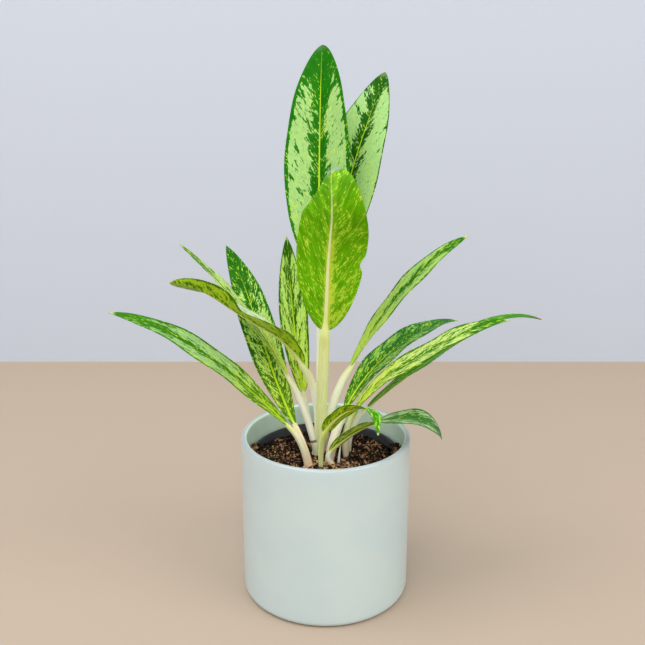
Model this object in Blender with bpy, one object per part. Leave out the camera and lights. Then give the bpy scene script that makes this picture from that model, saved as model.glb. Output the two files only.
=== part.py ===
"""A potted chinese evergreen, built as the real one is put together.

A straight glazed cachepot holds a thin black nursery pot with its soil. Four shoots stand in
the soil, each one body of cream stem and leaf stalks, and every leaf blade lies on its own
stalk, which runs on under the blade as its midrib. Metres, +Z up, with the origin at the
centre of the cachepot's flat underside. The viewer of the plant stands towards -Y.
"""

import math
from dataclasses import dataclass

import bmesh
import bpy
import numpy as np

# Fits, in metres
GAP = 0.0003

# Cachepot
POT_RADIUS = 0.0625
POT_HEIGHT = 0.124
POT_WALL = 0.0043
POT_FLOOR = 0.006
POT_FOOT_ROUND = 0.0045
POT_INNER_ROUND = 0.004
POT_SIDES = 56

# Nursery pot
NURSERY_RIM_RADIUS = 0.055
NURSERY_BASE_RADIUS = 0.041
NURSERY_TOP = 0.109
NURSERY_WALL = 0.0012
NURSERY_BEAD = 0.0011
NURSERY_BEAD_DEPTH = 0.004
NURSERY_SIDES = 44

# Soil
SOIL_EDGE = 0.1030
SOIL_CROWN = 0.1055
SOIL_RIPPLE = 0.0007
SOIL_WAVES = (190.0, 230.0)
SOIL_SIDES = 40
SOIL_RINGS = (0.36, 0.7)

# Shoots
STEM_BOTTOM = 0.070
STEM_SIDES = 14
STALK_SPACING = 0.011
STALK_START = 0.003
KEEL_SHARE = 0.42
KEEL_END_RADIUS = 0.0005
KEEL_START_RADIUS = 0.0013
COLLAR_RAMP = 0.014

# Blades
BLADE_THICKNESS = 0.0007
BLADE_ROWS = 14
BLADE_ROW_EVENNESS = 0.55
BLADE_COLUMNS = (0.0, 0.34, 0.68, 1.0)
BLADE_NECK = 0.0016
BLADE_NECK_POWER = 8
BLADE_TIP_HALF = 0.0004
FOLD_EASE = 0.3
FOLD_TIP_EASE = 0.35
SPINE_STEPS = 240


@dataclass
class Shoot:
    """A stem that stands in the soil, by its centre, radius and top."""
    name: str
    centre: tuple
    radius: float
    top: float


@dataclass
class Leaf:
    """One leaf's habit. Lengths are metres and angles are degrees.

    rise is the slope of the leaf's own line at the soil, the collar, a third and two thirds of
    the blade and its tip. heading is where that line points, from +X towards +Y, at the soil,
    the collar, mid blade and the tip. roll turns the blade about its line, at even steps from
    the collar to the tip. fold is how far each half rises from the midrib. fullness shapes the
    outline towards the collar and towards the tip.
    """
    name: str
    shoot: str
    foot: tuple
    stalk: float
    blade: float
    width: float
    rise: tuple
    heading: tuple
    roll: tuple
    fold: float
    fullness: tuple
    stalk_radii: tuple


SHOOTS = (
    Shoot("stems_main", (-0.0045, 0.0070), 0.0065, 0.116),
    Shoot("stems_left", (-0.0130, -0.0165), 0.0038, 0.1115),
    Shoot("stems_front", (0.0018, -0.0155), 0.0056, 0.1120),
    Shoot("stems_right", (0.0160, 0.0040), 0.0055, 0.1115),
)

LEAVES = (
    Leaf("leaf_tall_back", "stems_main", (-0.004, 0.010), 0.138, 0.157, 0.050,
         (95, 83, 79, 77, 65), (97, 97, 86, 84), (-8, -30), 20, (0.55, 0.60), (0.0036, 0.0026)),
    Leaf("leaf_back_right", "stems_main", (-0.004, 0.012), 0.133, 0.150, 0.047,
         (89, 81, 71, 63, 63), (45, 45, 46, 43), (25, 5), 19, (0.65, 0.70), (0.0036, 0.0026)),
    Leaf("leaf_front", "stems_main", (-0.004, 0.004), 0.103, 0.120, 0.050,
         (80, 75, 82, 65, 150), (278, 280, 285, 268), (-15, -38), 30, (0.55, 0.50), (0.0042, 0.0036)),
    Leaf("leaf_inner_left", "stems_main", (-0.008, 0.011), 0.042, 0.118, 0.021,
         (62, 75, 76, 82, 80), (126, 125, 119, 119), (-16, -28), 15, (0.75, 0.85), (0.0030, 0.0020)),
    Leaf("leaf_left_thin", "stems_main", (-0.007, 0.0016), 0.064, 0.123, 0.0205,
         (79, 63, 55, 51, 44), (171, 177.5, 185, 189), (-5, -8), 10, (0.75, 0.85), (0.0032, 0.0021)),
    Leaf("leaf_left_olive", "stems_main", (-0.007, 0.003), 0.073, 0.128, 0.030,
         (102, 60, 34, 39, 13), (209, 210, 205, 233), (12, -5, 10, 56), 34, (0.75, 0.85), (0.0038, 0.0026)),
    Leaf("leaf_upper_right", "stems_main", (-0.002, 0.008), 0.067, 0.133, 0.021,
         (83, 58, 51, 41, 22), (25, 22, 20, 21), (-9, 19), 10, (0.75, 0.85), (0.0038, 0.0027)),
    Leaf("leaf_left_long", "stems_left", (-0.012, -0.016), 0.030, 0.141, 0.026,
         (71, 53.5, 65, 64, 47), (147, 137.5, 137, 132.5), (-24, -19), 10, (0.90, 0.85), (0.0027, 0.0021)),
    Leaf("leaf_far_left", "stems_left", (-0.014, -0.017), 0.035, 0.150, 0.023,
         (82, 49, 45, 34, 16), (181, 192, 188, 196), (-24, -20), 10, (0.75, 0.85), (0.0026, 0.0019)),
    Leaf("leaf_right_dark", "stems_front", (0.003, -0.0100), 0.038, 0.123, 0.028,
         (76, 48, 33, 21, -6), (51, 48, 31, 28), (-4, -1), 20, (0.90, 0.85), (0.0042, 0.0030)),
    Leaf("leaf_small_front", "stems_front", (-0.0035, -0.0195), 0.0315, 0.068, 0.0145,
         (83, 57, 43, 3, -92), (261, 305, 339, 269), (-32, -37, -26, -10), 15, (0.60, 0.70),
         (0.0022, 0.0022)),
    Leaf("leaf_small_right", "stems_front", (0.003, -0.0155), 0.009, 0.098, 0.032,
         (126, 48, 30, 3, -74), (-2, -2, -15, 17), (-46, 21), 10, (0.80, 0.70), (0.0026, 0.0022)),
    Leaf("leaf_right_long", "stems_right", (0.015, 0.001), 0.035, 0.134, 0.022,
         (97, 61, 36, 34, 12), (-6, -10, -14, -10), (21, 18), 10, (0.85, 0.85), (0.0030, 0.0021)),
    Leaf("leaf_far_right", "stems_right", (0.017, 0.007), 0.037, 0.149, 0.024,
         (91, 40, 34, 33, -17), (16, 10, 6, 2), (-11, -2), 16, (0.75, 0.85), (0.0030, 0.0020)),
)


def clear_scene():
    for item in list(bpy.data.objects):
        bpy.data.objects.remove(item)


def finish(name, colour, roughness):
    """Return a plain Principled BSDF material."""
    material = bpy.data.materials.new(name)
    material.use_nodes = True
    shader = material.node_tree.nodes["Principled BSDF"]
    shader.inputs["Base Color"].default_value = (*colour, 1.0)
    shader.inputs["Roughness"].default_value = roughness
    shader.inputs["Metallic"].default_value = 0.0
    return material


def place(name, mesh, material, sharp_angle=math.radians(40)):
    """Link a mesh as a named object with its material, shaded smooth but for its sharp edges."""
    mesh.name = name
    mesh.materials.clear()
    mesh.materials.append(material)
    mesh.shade_smooth()
    mesh.set_sharp_from_angle(angle=sharp_angle)
    item = bpy.data.objects.new(name, mesh)
    bpy.context.scene.collection.objects.link(item)
    return item


def arc(centre, radius, start, end, steps):
    """Points of a round in the (radius, height) plane, from one angle in degrees to another."""
    angles = np.radians(np.linspace(start, end, steps + 1))
    return [(centre[0] + radius * math.cos(a), centre[1] + radius * math.sin(a)) for a in angles]


def turned(profile, sides):
    """Spin a profile of (radius, height) points about Z, from axis to axis, into a closed mesh."""
    shape = bmesh.new()
    points = [shape.verts.new((radius, 0.0, height)) for radius, height in profile]
    edges = [shape.edges.new(pair) for pair in zip(points, points[1:])]
    bmesh.ops.spin(shape, geom=points + edges, axis=(0, 0, 1), cent=(0, 0, 0),
                   angle=math.tau, steps=sides, use_duplicate=False)
    bmesh.ops.remove_doubles(shape, verts=shape.verts, dist=1e-6)
    bmesh.ops.recalc_face_normals(shape, faces=shape.faces)
    mesh = bpy.data.meshes.new("turned")
    shape.to_mesh(mesh)
    shape.free()
    return mesh


def cachepot():
    """The straight glazed pot: rounded foot, half-round lip and a rounded inner corner."""
    inner = POT_RADIUS - POT_WALL
    lip = POT_WALL / 2
    foot = (POT_RADIUS - POT_FOOT_ROUND, POT_FOOT_ROUND)
    corner = (inner - POT_INNER_ROUND, POT_FLOOR + POT_INNER_ROUND)
    profile = [(0.0, 0.0)]
    profile += arc(foot, POT_FOOT_ROUND, -90, 0, 3)
    profile += arc((POT_RADIUS - lip, POT_HEIGHT - lip), lip, 0, 180, 4)
    profile += arc(corner, POT_INNER_ROUND, 0, -90, 2)
    profile += [(0.0, POT_FLOOR)]
    return place("cachepot", turned(profile, POT_SIDES), finish("mint glaze", (0.56, 0.66, 0.62), 0.25))


def nursery_radius(height):
    """Outer radius of the nursery pot's tapered wall at a height."""
    bottom = POT_FLOOR + GAP
    share = (height - bottom) / (NURSERY_TOP - bottom)
    return NURSERY_BASE_RADIUS + share * (NURSERY_RIM_RADIUS - NURSERY_BEAD - NURSERY_BASE_RADIUS)


def nursery_pot():
    """The thin tapered pot with a beaded rim that stands on the cachepot's floor."""
    bottom = POT_FLOOR + GAP
    bead_bottom = NURSERY_TOP - NURSERY_BEAD_DEPTH
    profile = [
        (0.0, bottom),
        (nursery_radius(bottom), bottom),
        (nursery_radius(bead_bottom), bead_bottom),
        (NURSERY_RIM_RADIUS, bead_bottom + NURSERY_BEAD / 2),
        (NURSERY_RIM_RADIUS, NURSERY_TOP - NURSERY_BEAD / 2),
        (NURSERY_RIM_RADIUS - NURSERY_BEAD / 2, NURSERY_TOP),
        (nursery_radius(NURSERY_TOP) - NURSERY_WALL, NURSERY_TOP),
        (nursery_radius(bottom) - NURSERY_WALL, bottom + NURSERY_WALL),
        (0.0, bottom + NURSERY_WALL),
    ]
    return place("nursery_pot", turned(profile, NURSERY_SIDES),
                 finish("black plastic", (0.012, 0.012, 0.016), 0.42))


def soil():
    """The soil body: it fills the nursery pot, is slightly crowned and lets each stem through."""
    bottom = POT_FLOOR + GAP + NURSERY_WALL + GAP
    reach = NURSERY_WALL + GAP * 2
    edge = nursery_radius(SOIL_EDGE) - reach
    profile = [(0.0, bottom), (nursery_radius(bottom) - reach, bottom), (edge, SOIL_EDGE)]
    profile += [(edge * ring, crown_height(ring)) for ring in reversed(SOIL_RINGS)]
    profile += [(0.0, SOIL_CROWN)]
    mesh = turned(profile, SOIL_SIDES)
    ripple(mesh, edge)
    body = place("soil", mesh, finish("potting soil", (0.035, 0.022, 0.014), 0.95))
    drills = bpy.data.collections.new("stem holes")
    bpy.context.scene.collection.children.link(drills)
    for shoot in SHOOTS:
        hole = rod(shoot.centre, shoot.radius + GAP, STEM_BOTTOM - GAP, POT_HEIGHT)
        drills.objects.link(bpy.data.objects.new("hole", hole))
    return merged(body, drills, "DIFFERENCE")


def crown_height(ring):
    """Height of the soil at a share of its radius."""
    return SOIL_EDGE + (SOIL_CROWN - SOIL_EDGE) * (1 - ring ** 2)


def ripple(mesh, edge):
    """Lift and lower the soil's top inside its edge by two crossed waves."""
    for point in mesh.vertices:
        x, y, z = point.co
        inside = math.hypot(x, y) / edge
        if z > SOIL_EDGE + GAP and inside < 1:
            point.co.z += SOIL_RIPPLE * math.cos(x * SOIL_WAVES[0]) * math.cos(y * SOIL_WAVES[1])


def rod(centre, radius, bottom, top):
    """The mesh of a closed upright cylinder."""
    shape = bmesh.new()
    bmesh.ops.create_cone(shape, cap_ends=True, segments=STEM_SIDES, radius1=radius, radius2=radius,
                          depth=top - bottom)
    bmesh.ops.translate(shape, verts=shape.verts, vec=(*centre, (top + bottom) / 2))
    mesh = bpy.data.meshes.new("rod")
    shape.to_mesh(mesh)
    shape.free()
    return mesh


def merged(body, others, operation):
    """Apply one Boolean of a collection to a body, then remove the collection's objects."""
    boolean = body.modifiers.new("merge", "BOOLEAN")
    boolean.operation = operation
    boolean.operand_type = "COLLECTION"
    boolean.collection = others
    boolean.solver = "EXACT"
    graph = bpy.context.evaluated_depsgraph_get()
    mesh = bpy.data.meshes.new_from_object(body.evaluated_get(graph))
    body.modifiers.clear()
    for item in list(others.objects):
        bpy.data.objects.remove(item)
    bpy.data.collections.remove(others)
    weld(mesh)
    body.data = mesh
    return body


def weld(mesh, distance=2e-5):
    """Close the hairline seams of a mesh, then drop its needle triangles and loose scraps."""
    shape = bmesh.new()
    shape.from_mesh(mesh)
    bmesh.ops.remove_doubles(shape, verts=shape.verts, dist=distance)
    bmesh.ops.dissolve_degenerate(shape, edges=shape.edges, dist=distance)
    bodies = sorted(face_islands(shape), key=len)
    scraps = [face for body in bodies[:-1] for face in body]
    bmesh.ops.delete(shape, geom=scraps, context="FACES")
    shape.to_mesh(mesh)
    shape.free()


def face_islands(shape):
    """Group the faces of a mesh that join each other along edges."""
    islands, waiting = [], set(shape.faces)
    while waiting:
        island, front = set(), {waiting.pop()}
        while front:
            island |= front
            waiting -= front
            front = {near for face in front for edge in face.edges for near in edge.link_faces} - island
        islands.append(island)
    return islands


def spine(leaf):
    """The leaf's line from soil to tip.

    Returns the distance along it, its points, its direction, the upward side of the blade
    and the side that points to the right when looking along it.
    """
    length = leaf.stalk + leaf.blade
    along = np.linspace(0.0, length, SPINE_STEPS)
    rise_at = [0.0] + [leaf.stalk + leaf.blade * share for share in (0, 1 / 3, 2 / 3, 1)]
    heading_at = [0.0] + [leaf.stalk + leaf.blade * share for share in (0, 1 / 2, 1)]
    rise = np.radians(np.interp(along, rise_at, leaf.rise))
    heading = np.radians(np.interp(along, heading_at, leaf.heading))
    roll_at = np.linspace(leaf.stalk, length, len(leaf.roll))
    roll = np.radians(np.interp(along, roll_at, leaf.roll))
    level = np.stack([np.cos(heading), np.sin(heading), 0 * heading], axis=-1)
    upward = np.array([0.0, 0.0, 1.0])
    direction = np.cos(rise)[:, None] * level + np.sin(rise)[:, None] * upward
    face = -np.sin(rise)[:, None] * level + np.cos(rise)[:, None] * upward
    side = np.stack([np.sin(heading), -np.cos(heading), 0 * heading], axis=-1)
    cosine, sine = np.cos(roll)[:, None], np.sin(roll)[:, None]
    face, side = cosine * face + sine * side, cosine * side - sine * face
    steps = (direction[1:] + direction[:-1]) / 2 * np.diff(along)[:, None]
    start = np.array([*leaf.foot, SOIL_CROWN + STALK_START])
    points = np.vstack([np.zeros(3), np.cumsum(steps, axis=0)]) + start
    return along, points, direction, face, side


def at(places, along, values):
    """Read rows of values at given distances along the leaf."""
    return np.stack([np.interp(places, along, values[:, axis]) for axis in range(3)], axis=-1)


def blade_shares():
    """Shares of the blade's length where its rows lie, closer together at both ends."""
    even = np.linspace(0.0, 1.0, BLADE_ROWS + 1)
    eased = 0.5 - 0.5 * np.cos(math.pi * even)
    return BLADE_ROW_EVENNESS * even + (1 - BLADE_ROW_EVENNESS) * eased


def half_width(leaf, share):
    """Half the blade's width at a share of its length: a power law on both ends, with a neck."""
    toward_base, toward_tip = leaf.fullness
    widest = toward_base / (toward_base + toward_tip)
    outline = share ** toward_base * (1 - share) ** toward_tip
    outline = outline / (widest ** toward_base * (1 - widest) ** toward_tip)
    half = leaf.width / 2 * outline + BLADE_NECK * (1 - share) ** BLADE_NECK_POWER
    return np.maximum(half, BLADE_TIP_HALF)


def blade(leaf, material):
    """The blade: two halves that rise from the midrib, ruled across it and thickened downward."""
    along, points, _, face, side = spine(leaf)
    share = blade_shares()
    places = leaf.stalk + share * leaf.blade
    middle, up, across = (at(places, along, values) for values in (points, face, side))
    half = half_width(leaf, share)[:, None]
    columns = np.array([-column for column in reversed(BLADE_COLUMNS[1:])] + list(BLADE_COLUMNS))
    reach = np.abs(columns)[None, :]
    tilt = np.radians(leaf.fold) * (1 - FOLD_TIP_EASE * share)[:, None] * (1 - FOLD_EASE * reach)
    outward = half * columns[None, :] * np.cos(tilt)
    lifted = half * reach * np.sin(tilt)
    grid = middle[:, None] + outward[..., None] * across[:, None] + lifted[..., None] * up[:, None]
    mesh = bpy.data.meshes.new(leaf.name)
    mesh.from_pydata(grid.reshape(-1, 3).tolist(), [], grid_triangles(*grid.shape[:2]))
    item = place(leaf.name, mesh, material)
    solid = item.modifiers.new("thickness", "SOLIDIFY")
    solid.thickness = BLADE_THICKNESS
    solid.offset = -1.0
    solid.use_even_offset = True
    return item


def grid_triangles(rows, columns):
    """Split each cell of a grid in two, mirrored about the middle column."""
    triangles = []
    for row in range(rows - 1):
        for column in range(columns - 1):
            a = row * columns + column
            b, c, d = a + 1, a + columns + 1, a + columns
            if column < columns // 2:
                triangles += [(a, b, c), (a, c, d)]
            else:
                triangles += [(a, b, d), (b, c, d)]
    return triangles


def stalk(leaf):
    """The leaf's round stalk, which tapers to its collar and runs on under the blade."""
    along, points, direction, face, _ = spine(leaf)
    count = max(3, round(leaf.stalk / STALK_SPACING))
    below_blade = leaf.stalk + blade_shares() * leaf.blade
    keel = below_blade[below_blade < leaf.stalk + KEEL_SHARE * leaf.blade]
    stops = np.concatenate([np.linspace(0.0, leaf.stalk - COLLAR_RAMP / 2, count), keel])
    radius = np.interp(stops, (0.0, leaf.stalk - COLLAR_RAMP, leaf.stalk, keel[-1]),
                       (*leaf.stalk_radii, KEEL_START_RADIUS, KEEL_END_RADIUS))
    depth = BLADE_THICKNESS / math.cos(math.radians(leaf.fold)) + GAP
    lowered = np.interp(stops, (leaf.stalk - COLLAR_RAMP, leaf.stalk - COLLAR_RAMP / 4), (0.0, 1.0))
    line = at(stops, along, points) - (lowered * (depth + radius))[:, None] * at(stops, along, face)
    curve = bpy.data.curves.new("stalk", "CURVE")
    curve.dimensions = "3D"
    curve.bevel_depth = 1.0
    curve.bevel_resolution = 2
    curve.use_fill_caps = True
    path = curve.splines.new("POLY")
    path.points.add(len(stops) - 1)
    for point, spot, size in zip(path.points, line, radius):
        point.co = (*spot, 1.0)
        point.radius = size
    guide = bpy.data.objects.new("stalk", curve)
    bpy.context.scene.collection.objects.link(guide)
    graph = bpy.context.evaluated_depsgraph_get()
    mesh = bpy.data.meshes.new_from_object(guide.evaluated_get(graph))
    bpy.data.objects.remove(guide)
    weld(mesh, 1e-6)
    return bpy.data.objects.new("stalk", mesh)


def shoot_body(shoot, material):
    """One shoot: its stem and the stalks of its leaves, joined in one body."""
    body = place(shoot.name, rod(shoot.centre, shoot.radius, STEM_BOTTOM, shoot.top), material)
    stalks = bpy.data.collections.new("stalks")
    bpy.context.scene.collection.children.link(stalks)
    for leaf in LEAVES:
        if leaf.shoot == shoot.name:
            stalks.objects.link(stalk(leaf))
    return merged(body, stalks, "UNION")


def build():
    clear_scene()
    cachepot()
    nursery_pot()
    soil()
    cream = finish("cream stem", (0.72, 0.70, 0.52), 0.45)
    green = finish("leaf green", (0.10, 0.34, 0.03), 0.40)
    for shoot in SHOOTS:
        shoot_body(shoot, cream)
    for leaf in LEAVES:
        blade(leaf, green)


build()
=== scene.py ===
# %% [markdown]
# # Dressing a potted chinese evergreen
#
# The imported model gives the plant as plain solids: a pot, a nursery pot, soil, four shoots and
# fourteen leaf blades. This lesson gives each of them its fine surface. Every shape here is a
# function of two numbers on a grid, worked out with numpy, and every finish is made of nodes.
#
# All lengths are metres. The origin is the centre of the pot's underside, +Z is up, and the
# viewer of the plant stands towards -Y.

# %% Load the frame and measure it
import math
from dataclasses import dataclass
from types import SimpleNamespace

import bpy
import numpy as np
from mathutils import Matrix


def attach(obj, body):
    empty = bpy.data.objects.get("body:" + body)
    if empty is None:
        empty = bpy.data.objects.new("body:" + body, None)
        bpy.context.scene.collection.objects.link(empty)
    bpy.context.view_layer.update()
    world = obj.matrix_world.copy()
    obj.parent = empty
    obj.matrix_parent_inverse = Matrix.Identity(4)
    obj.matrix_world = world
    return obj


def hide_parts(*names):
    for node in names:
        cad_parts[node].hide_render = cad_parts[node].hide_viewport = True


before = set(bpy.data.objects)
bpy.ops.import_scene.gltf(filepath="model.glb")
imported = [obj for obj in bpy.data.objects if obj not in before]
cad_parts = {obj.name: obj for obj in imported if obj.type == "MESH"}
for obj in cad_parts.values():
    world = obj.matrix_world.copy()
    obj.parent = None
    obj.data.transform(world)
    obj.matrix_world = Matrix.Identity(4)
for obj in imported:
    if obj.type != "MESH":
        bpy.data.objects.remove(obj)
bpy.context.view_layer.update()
MM = 0.001

# %% [markdown]
# ## The camera
#
# The pot tells where the camera stood. Its rim is a circle seen as an ellipse, and how flat that
# ellipse is gives the height of the eye. How much narrower the foot looks than the rim gives the
# distance. A 50 mm lens, 61 cm in front of the pot and 40 cm up, tilted 17 degrees down, fits both.

# %% Stand the camera
CAMERA_PLACE = (-0.0023, -0.610, 0.396)
CAMERA_TILT_DOWN = 17.0
CAMERA_LENS = 50.0

camera = bpy.data.objects.new("camera", bpy.data.cameras.new("camera"))
camera.data.lens = CAMERA_LENS
camera.location = CAMERA_PLACE
camera.rotation_euler = (math.radians(90.0 - CAMERA_TILT_DOWN), 0.0, 0.0)
bpy.context.scene.collection.objects.link(camera)
bpy.context.scene.camera = camera
print("camera at", CAMERA_PLACE, "tilted down by", CAMERA_TILT_DOWN)

# %% [markdown]
# ## Helpers for shapes
#
# A surface on a grid needs only its points. Which four points make a cell follows from the grid's
# size, and a grid whose last column joins the first is a tube. A tube gets a flat cap at each end.

# %% Grids of points as meshes
def cells(rows, columns, wrap):
    """Corner numbers of a grid's cells. With wrap, the last column joins the first."""
    row, column = np.meshgrid(
        np.arange(rows - 1), np.arange(columns if wrap else columns - 1), indexing="ij"
    )
    beside = (column + 1) % columns
    a, b = row * columns + column, row * columns + beside
    return np.stack([a, b, b + columns, a + columns], axis=-1).reshape(-1, 4).tolist()


def new_mesh(name, points, faces, marks=None, sharp=None):
    """Make an object of a closed shell, faces outward, with marks as vector attributes."""
    mesh = bpy.data.meshes.new(name)
    mesh.from_pydata(points.reshape(-1, 3).tolist(), [], faces)
    for label, values in (marks or {}).items():
        layer = mesh.attributes.new(label, "FLOAT_VECTOR", "POINT")
        layer.data.foreach_set("vector", values.astype(np.float32).ravel())
    if signed_volume(points.reshape(-1, 3), faces) < 0:
        mesh.flip_normals()
    mesh.shade_smooth()
    if sharp:
        mesh.set_sharp_from_angle(angle=math.radians(sharp))
    item = bpy.data.objects.new(name, mesh)
    bpy.context.scene.collection.objects.link(item)
    return item


def signed_volume(points, faces):
    """Volume of a closed shell, negative when its faces point inward.

    Each face is a fan of triangles, and each triangle spans a small pyramid to the origin.
    """
    fans = [(f[0], f[i], f[i + 1]) for f in faces for i in range(1, len(f) - 1)]
    a, b, c = (points[np.array(fans)[:, corner]] for corner in range(3))
    return float(np.einsum("ij,ij->i", a, np.cross(b, c)).sum() / 6)


def tube(name, rings, marks=None, sharp=None):
    """A closed tube through rings of points, of shape (rings, points round, 3), with end caps."""
    count, around = rings.shape[:2]
    faces = cells(count, around, wrap=True)
    faces += [list(range(around))[::-1], list(range((count - 1) * around, count * around))]
    return new_mesh(name, rings, faces, marks, sharp)


def turned(name, profile, around, sharp=None):
    """Carry a profile of (radius, height) points round Z. Both ends lie on the axis."""
    angle = np.linspace(0, math.tau, around, endpoint=False)
    radius, height = np.array(profile[1:-1]).T
    rings = np.stack(
        [
            radius[:, None] * np.cos(angle),
            radius[:, None] * np.sin(angle),
            np.repeat(height[:, None], around, axis=1),
        ],
        axis=-1,
    )
    ends = np.array([[0, 0, profile[0][1]], [0, 0, profile[-1][1]]])
    points = np.vstack([rings.reshape(-1, 3), ends])
    faces = cells(len(radius), around, wrap=True)
    first, last = len(points) - 2, len(points) - 1
    top = (len(radius) - 1) * around
    faces += [[first, (i + 1) % around, i] for i in range(around)]
    faces += [[last, top + i, top + (i + 1) % around] for i in range(around)]
    return new_mesh(name, points, faces, sharp=sharp)


def smooth(value, low, high):
    """Rise from 0 at low to 1 at high along a curve with level ends, as 3t^2 - 2t^3."""
    t = np.clip((value - low) / (high - low), 0, 1)
    return t * t * (3 - 2 * t)


def dress(item, material, slot, *nodes):
    """Give a finished piece its material, and its place in the frame."""
    item.data.materials.append(material)
    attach(item, "root")
    if nodes:
        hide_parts(*nodes)
    return item


# %% [markdown]
# ## Helpers for finishes
#
# Node trees read better as short calls. One class adds a node, sets its options and feeds its
# sockets, with either a number or another node's output.

# %% Nodes in one call each
def shade(red, green, blue):
    """A colour as a screen shows it, 0 to 255, turned into the linear numbers of a shader."""
    share = np.array([red, green, blue]) / 255
    linear = np.where(share <= 0.04045, share / 12.92, ((share + 0.055) / 1.055) ** 2.4)
    return (*linear.tolist(), 1.0)


class Nodes:
    """Adds and wires nodes in one tree."""

    def __init__(self, tree):
        self.tree = tree

    def add(self, kind, sockets=None, **options):
        """Add a node, set its options, then link or set its sockets."""
        made = self.tree.nodes.new("ShaderNode" + kind)
        for label, value in options.items():
            setattr(made, label, value)
        for label, value in (sockets or {}).items():
            self.feed(made.inputs[label], value)
        return made

    def feed(self, socket, value):
        """Link another node's output to a socket, or set the socket's own value."""
        if isinstance(value, bpy.types.NodeSocket):
            self.tree.links.new(value, socket)
        else:
            socket.default_value = value

    def maths(self, operation, *values):
        """One step of arithmetic."""
        return self.add("Math", dict(enumerate(values)), operation=operation).outputs[0]

    def times(self, first, second):
        """A product."""
        return self.maths("MULTIPLY", first, second)

    def plus(self, first, second):
        """A sum."""
        return self.maths("ADD", first, second)

    def minus(self, first, second):
        """A difference."""
        return self.maths("SUBTRACT", first, second)

    def times_plus(self, value, factor, addend):
        """A product and then a sum, in one node."""
        return self.maths("MULTIPLY_ADD", value, factor, addend)

    def between(self, value, low, high, start=0.0, end=1.0):
        """Carry a value's range from low to high over to start to end, eased at both ends."""
        sockets = {"Value": value, 1: low, 2: high, 3: start, 4: end}
        return self.add("MapRange", sockets, interpolation_type="SMOOTHSTEP").outputs[0]

    def mix(self, share, first, second):
        """Blend two colours."""
        sockets = {0: share, 6: first, 7: second}
        return self.add("Mix", sockets, data_type="RGBA").outputs[2]

    def tint(self, colour, share):
        """A colour made darker or lighter."""
        tone = self.join(share, share, share)
        sockets = {0: 1.0, 6: colour, 7: tone}
        return self.add("Mix", sockets, data_type="RGBA", blend_type="MULTIPLY").outputs[2]

    def flat(self, vector):
        """A vector without its height."""
        sockets = {0: vector, 1: (1.0, 1.0, 0.0)}
        return self.add("VectorMath", sockets, operation="MULTIPLY").outputs[0]

    def join(self, x, y, z):
        """Three numbers as one vector."""
        return self.add("CombineXYZ", {0: x, 1: y, 2: z}).outputs[0]

    def noise(self, vector, scale, detail=2.0, roughness=0.5, warp=0.0):
        """Fractal noise from 0 to 1."""
        sockets = {"Vector": vector, "Scale": scale, "Detail": detail, "Roughness": roughness}
        sockets["Distortion"] = warp
        return self.add("TexNoise", sockets).outputs[0]

    def bump(self, height, strength, distance):
        """A normal that follows a height."""
        sockets = {"Height": height, "Strength": strength, "Distance": distance}
        return self.add("Bump", sockets).outputs[0]

    def place(self):
        """Where a point lies on its piece, in metres."""
        return self.add("TexCoord").outputs["Object"]

    def parts(self, vector):
        """The three numbers of a vector."""
        return self.add("SeparateXYZ", {0: vector}).outputs

    def mark(self, label):
        """The three numbers of a piece's own attribute."""
        return self.parts(self.add("Attribute", attribute_name=label).outputs["Vector"])


def new_group(name, inputs, outputs):
    """An empty node group with named sockets. Returns its Nodes, inputs and output sockets."""
    tree = bpy.data.node_groups.new(name, "ShaderNodeTree")
    for label, (kind, value) in inputs.items():
        socket = tree.interface.new_socket(label, in_out="INPUT", socket_type="NodeSocket" + kind)
        socket.default_value = value
    for label, kind in outputs.items():
        tree.interface.new_socket(label, in_out="OUTPUT", socket_type="NodeSocket" + kind)
    sources = tree.nodes.new("NodeGroupInput").outputs
    results = tree.nodes.new("NodeGroupOutput").inputs
    return Nodes(tree), sources, results


def new_material(name, **sockets):
    """A material with a Principled BSDF and the given values on its own sockets."""
    material = bpy.data.materials.new(name)
    material.use_nodes = True
    shader = material.node_tree.nodes["Principled BSDF"]
    for label, value in sockets.items():
        shader.inputs[label.replace("_", " ")].default_value = value
    return material, Nodes(material.node_tree), shader


# %% [markdown]
# ## The floor, the wall and the light
#
# The plant was photographed in soft daylight on a pale table before a pale wall. Their two tints
# matter, because the glaze and the glossy leaves mirror them. The wall has one side only: seen from
# behind it lets everything through, so the plant can be looked at from all round. The light comes
# broadly from the front and above, as from a large window behind the viewer.

# %% Floor and wall
FLOOR_HALF, WALL_Y, WALL_TOP = 4.0, 0.508, 3.0


def stage_sheet(name, corners, colour):
    """A plain flat sheet that isn't part of the object. Its back can't be seen."""
    mesh = bpy.data.meshes.new(name)
    mesh.from_pydata(corners, [], [(0, 1, 2, 3)])
    sheet = bpy.data.objects.new(name, mesh)
    bpy.context.scene.collection.objects.link(sheet)
    material, n, shader = new_material(
        name, Base_Color=colour, Roughness=0.8, Specular_IOR_Level=0.2
    )
    back = n.add("NewGeometry").outputs["Backfacing"]
    n.feed(shader.inputs["Alpha"], n.minus(1.0, back))
    mesh.materials.append(material)


left_back, right_back = (-FLOOR_HALF, WALL_Y, 0), (FLOOR_HALF, WALL_Y, 0)
left_front, right_front = (-FLOOR_HALF, -FLOOR_HALF, 0), (FLOOR_HALF, -FLOOR_HALF, 0)
left_top, right_top = (-FLOOR_HALF, WALL_Y, WALL_TOP), (FLOOR_HALF, WALL_Y, WALL_TOP)
stage_sheet("floor", [left_front, right_front, right_back, left_back], shade(180, 162, 143))
stage_sheet("wall", [left_back, right_back, right_top, left_top], shade(197, 203, 214))
print("wall stands", round((WALL_Y - CAMERA_PLACE[1]) * 100), "cm from the camera")

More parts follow.
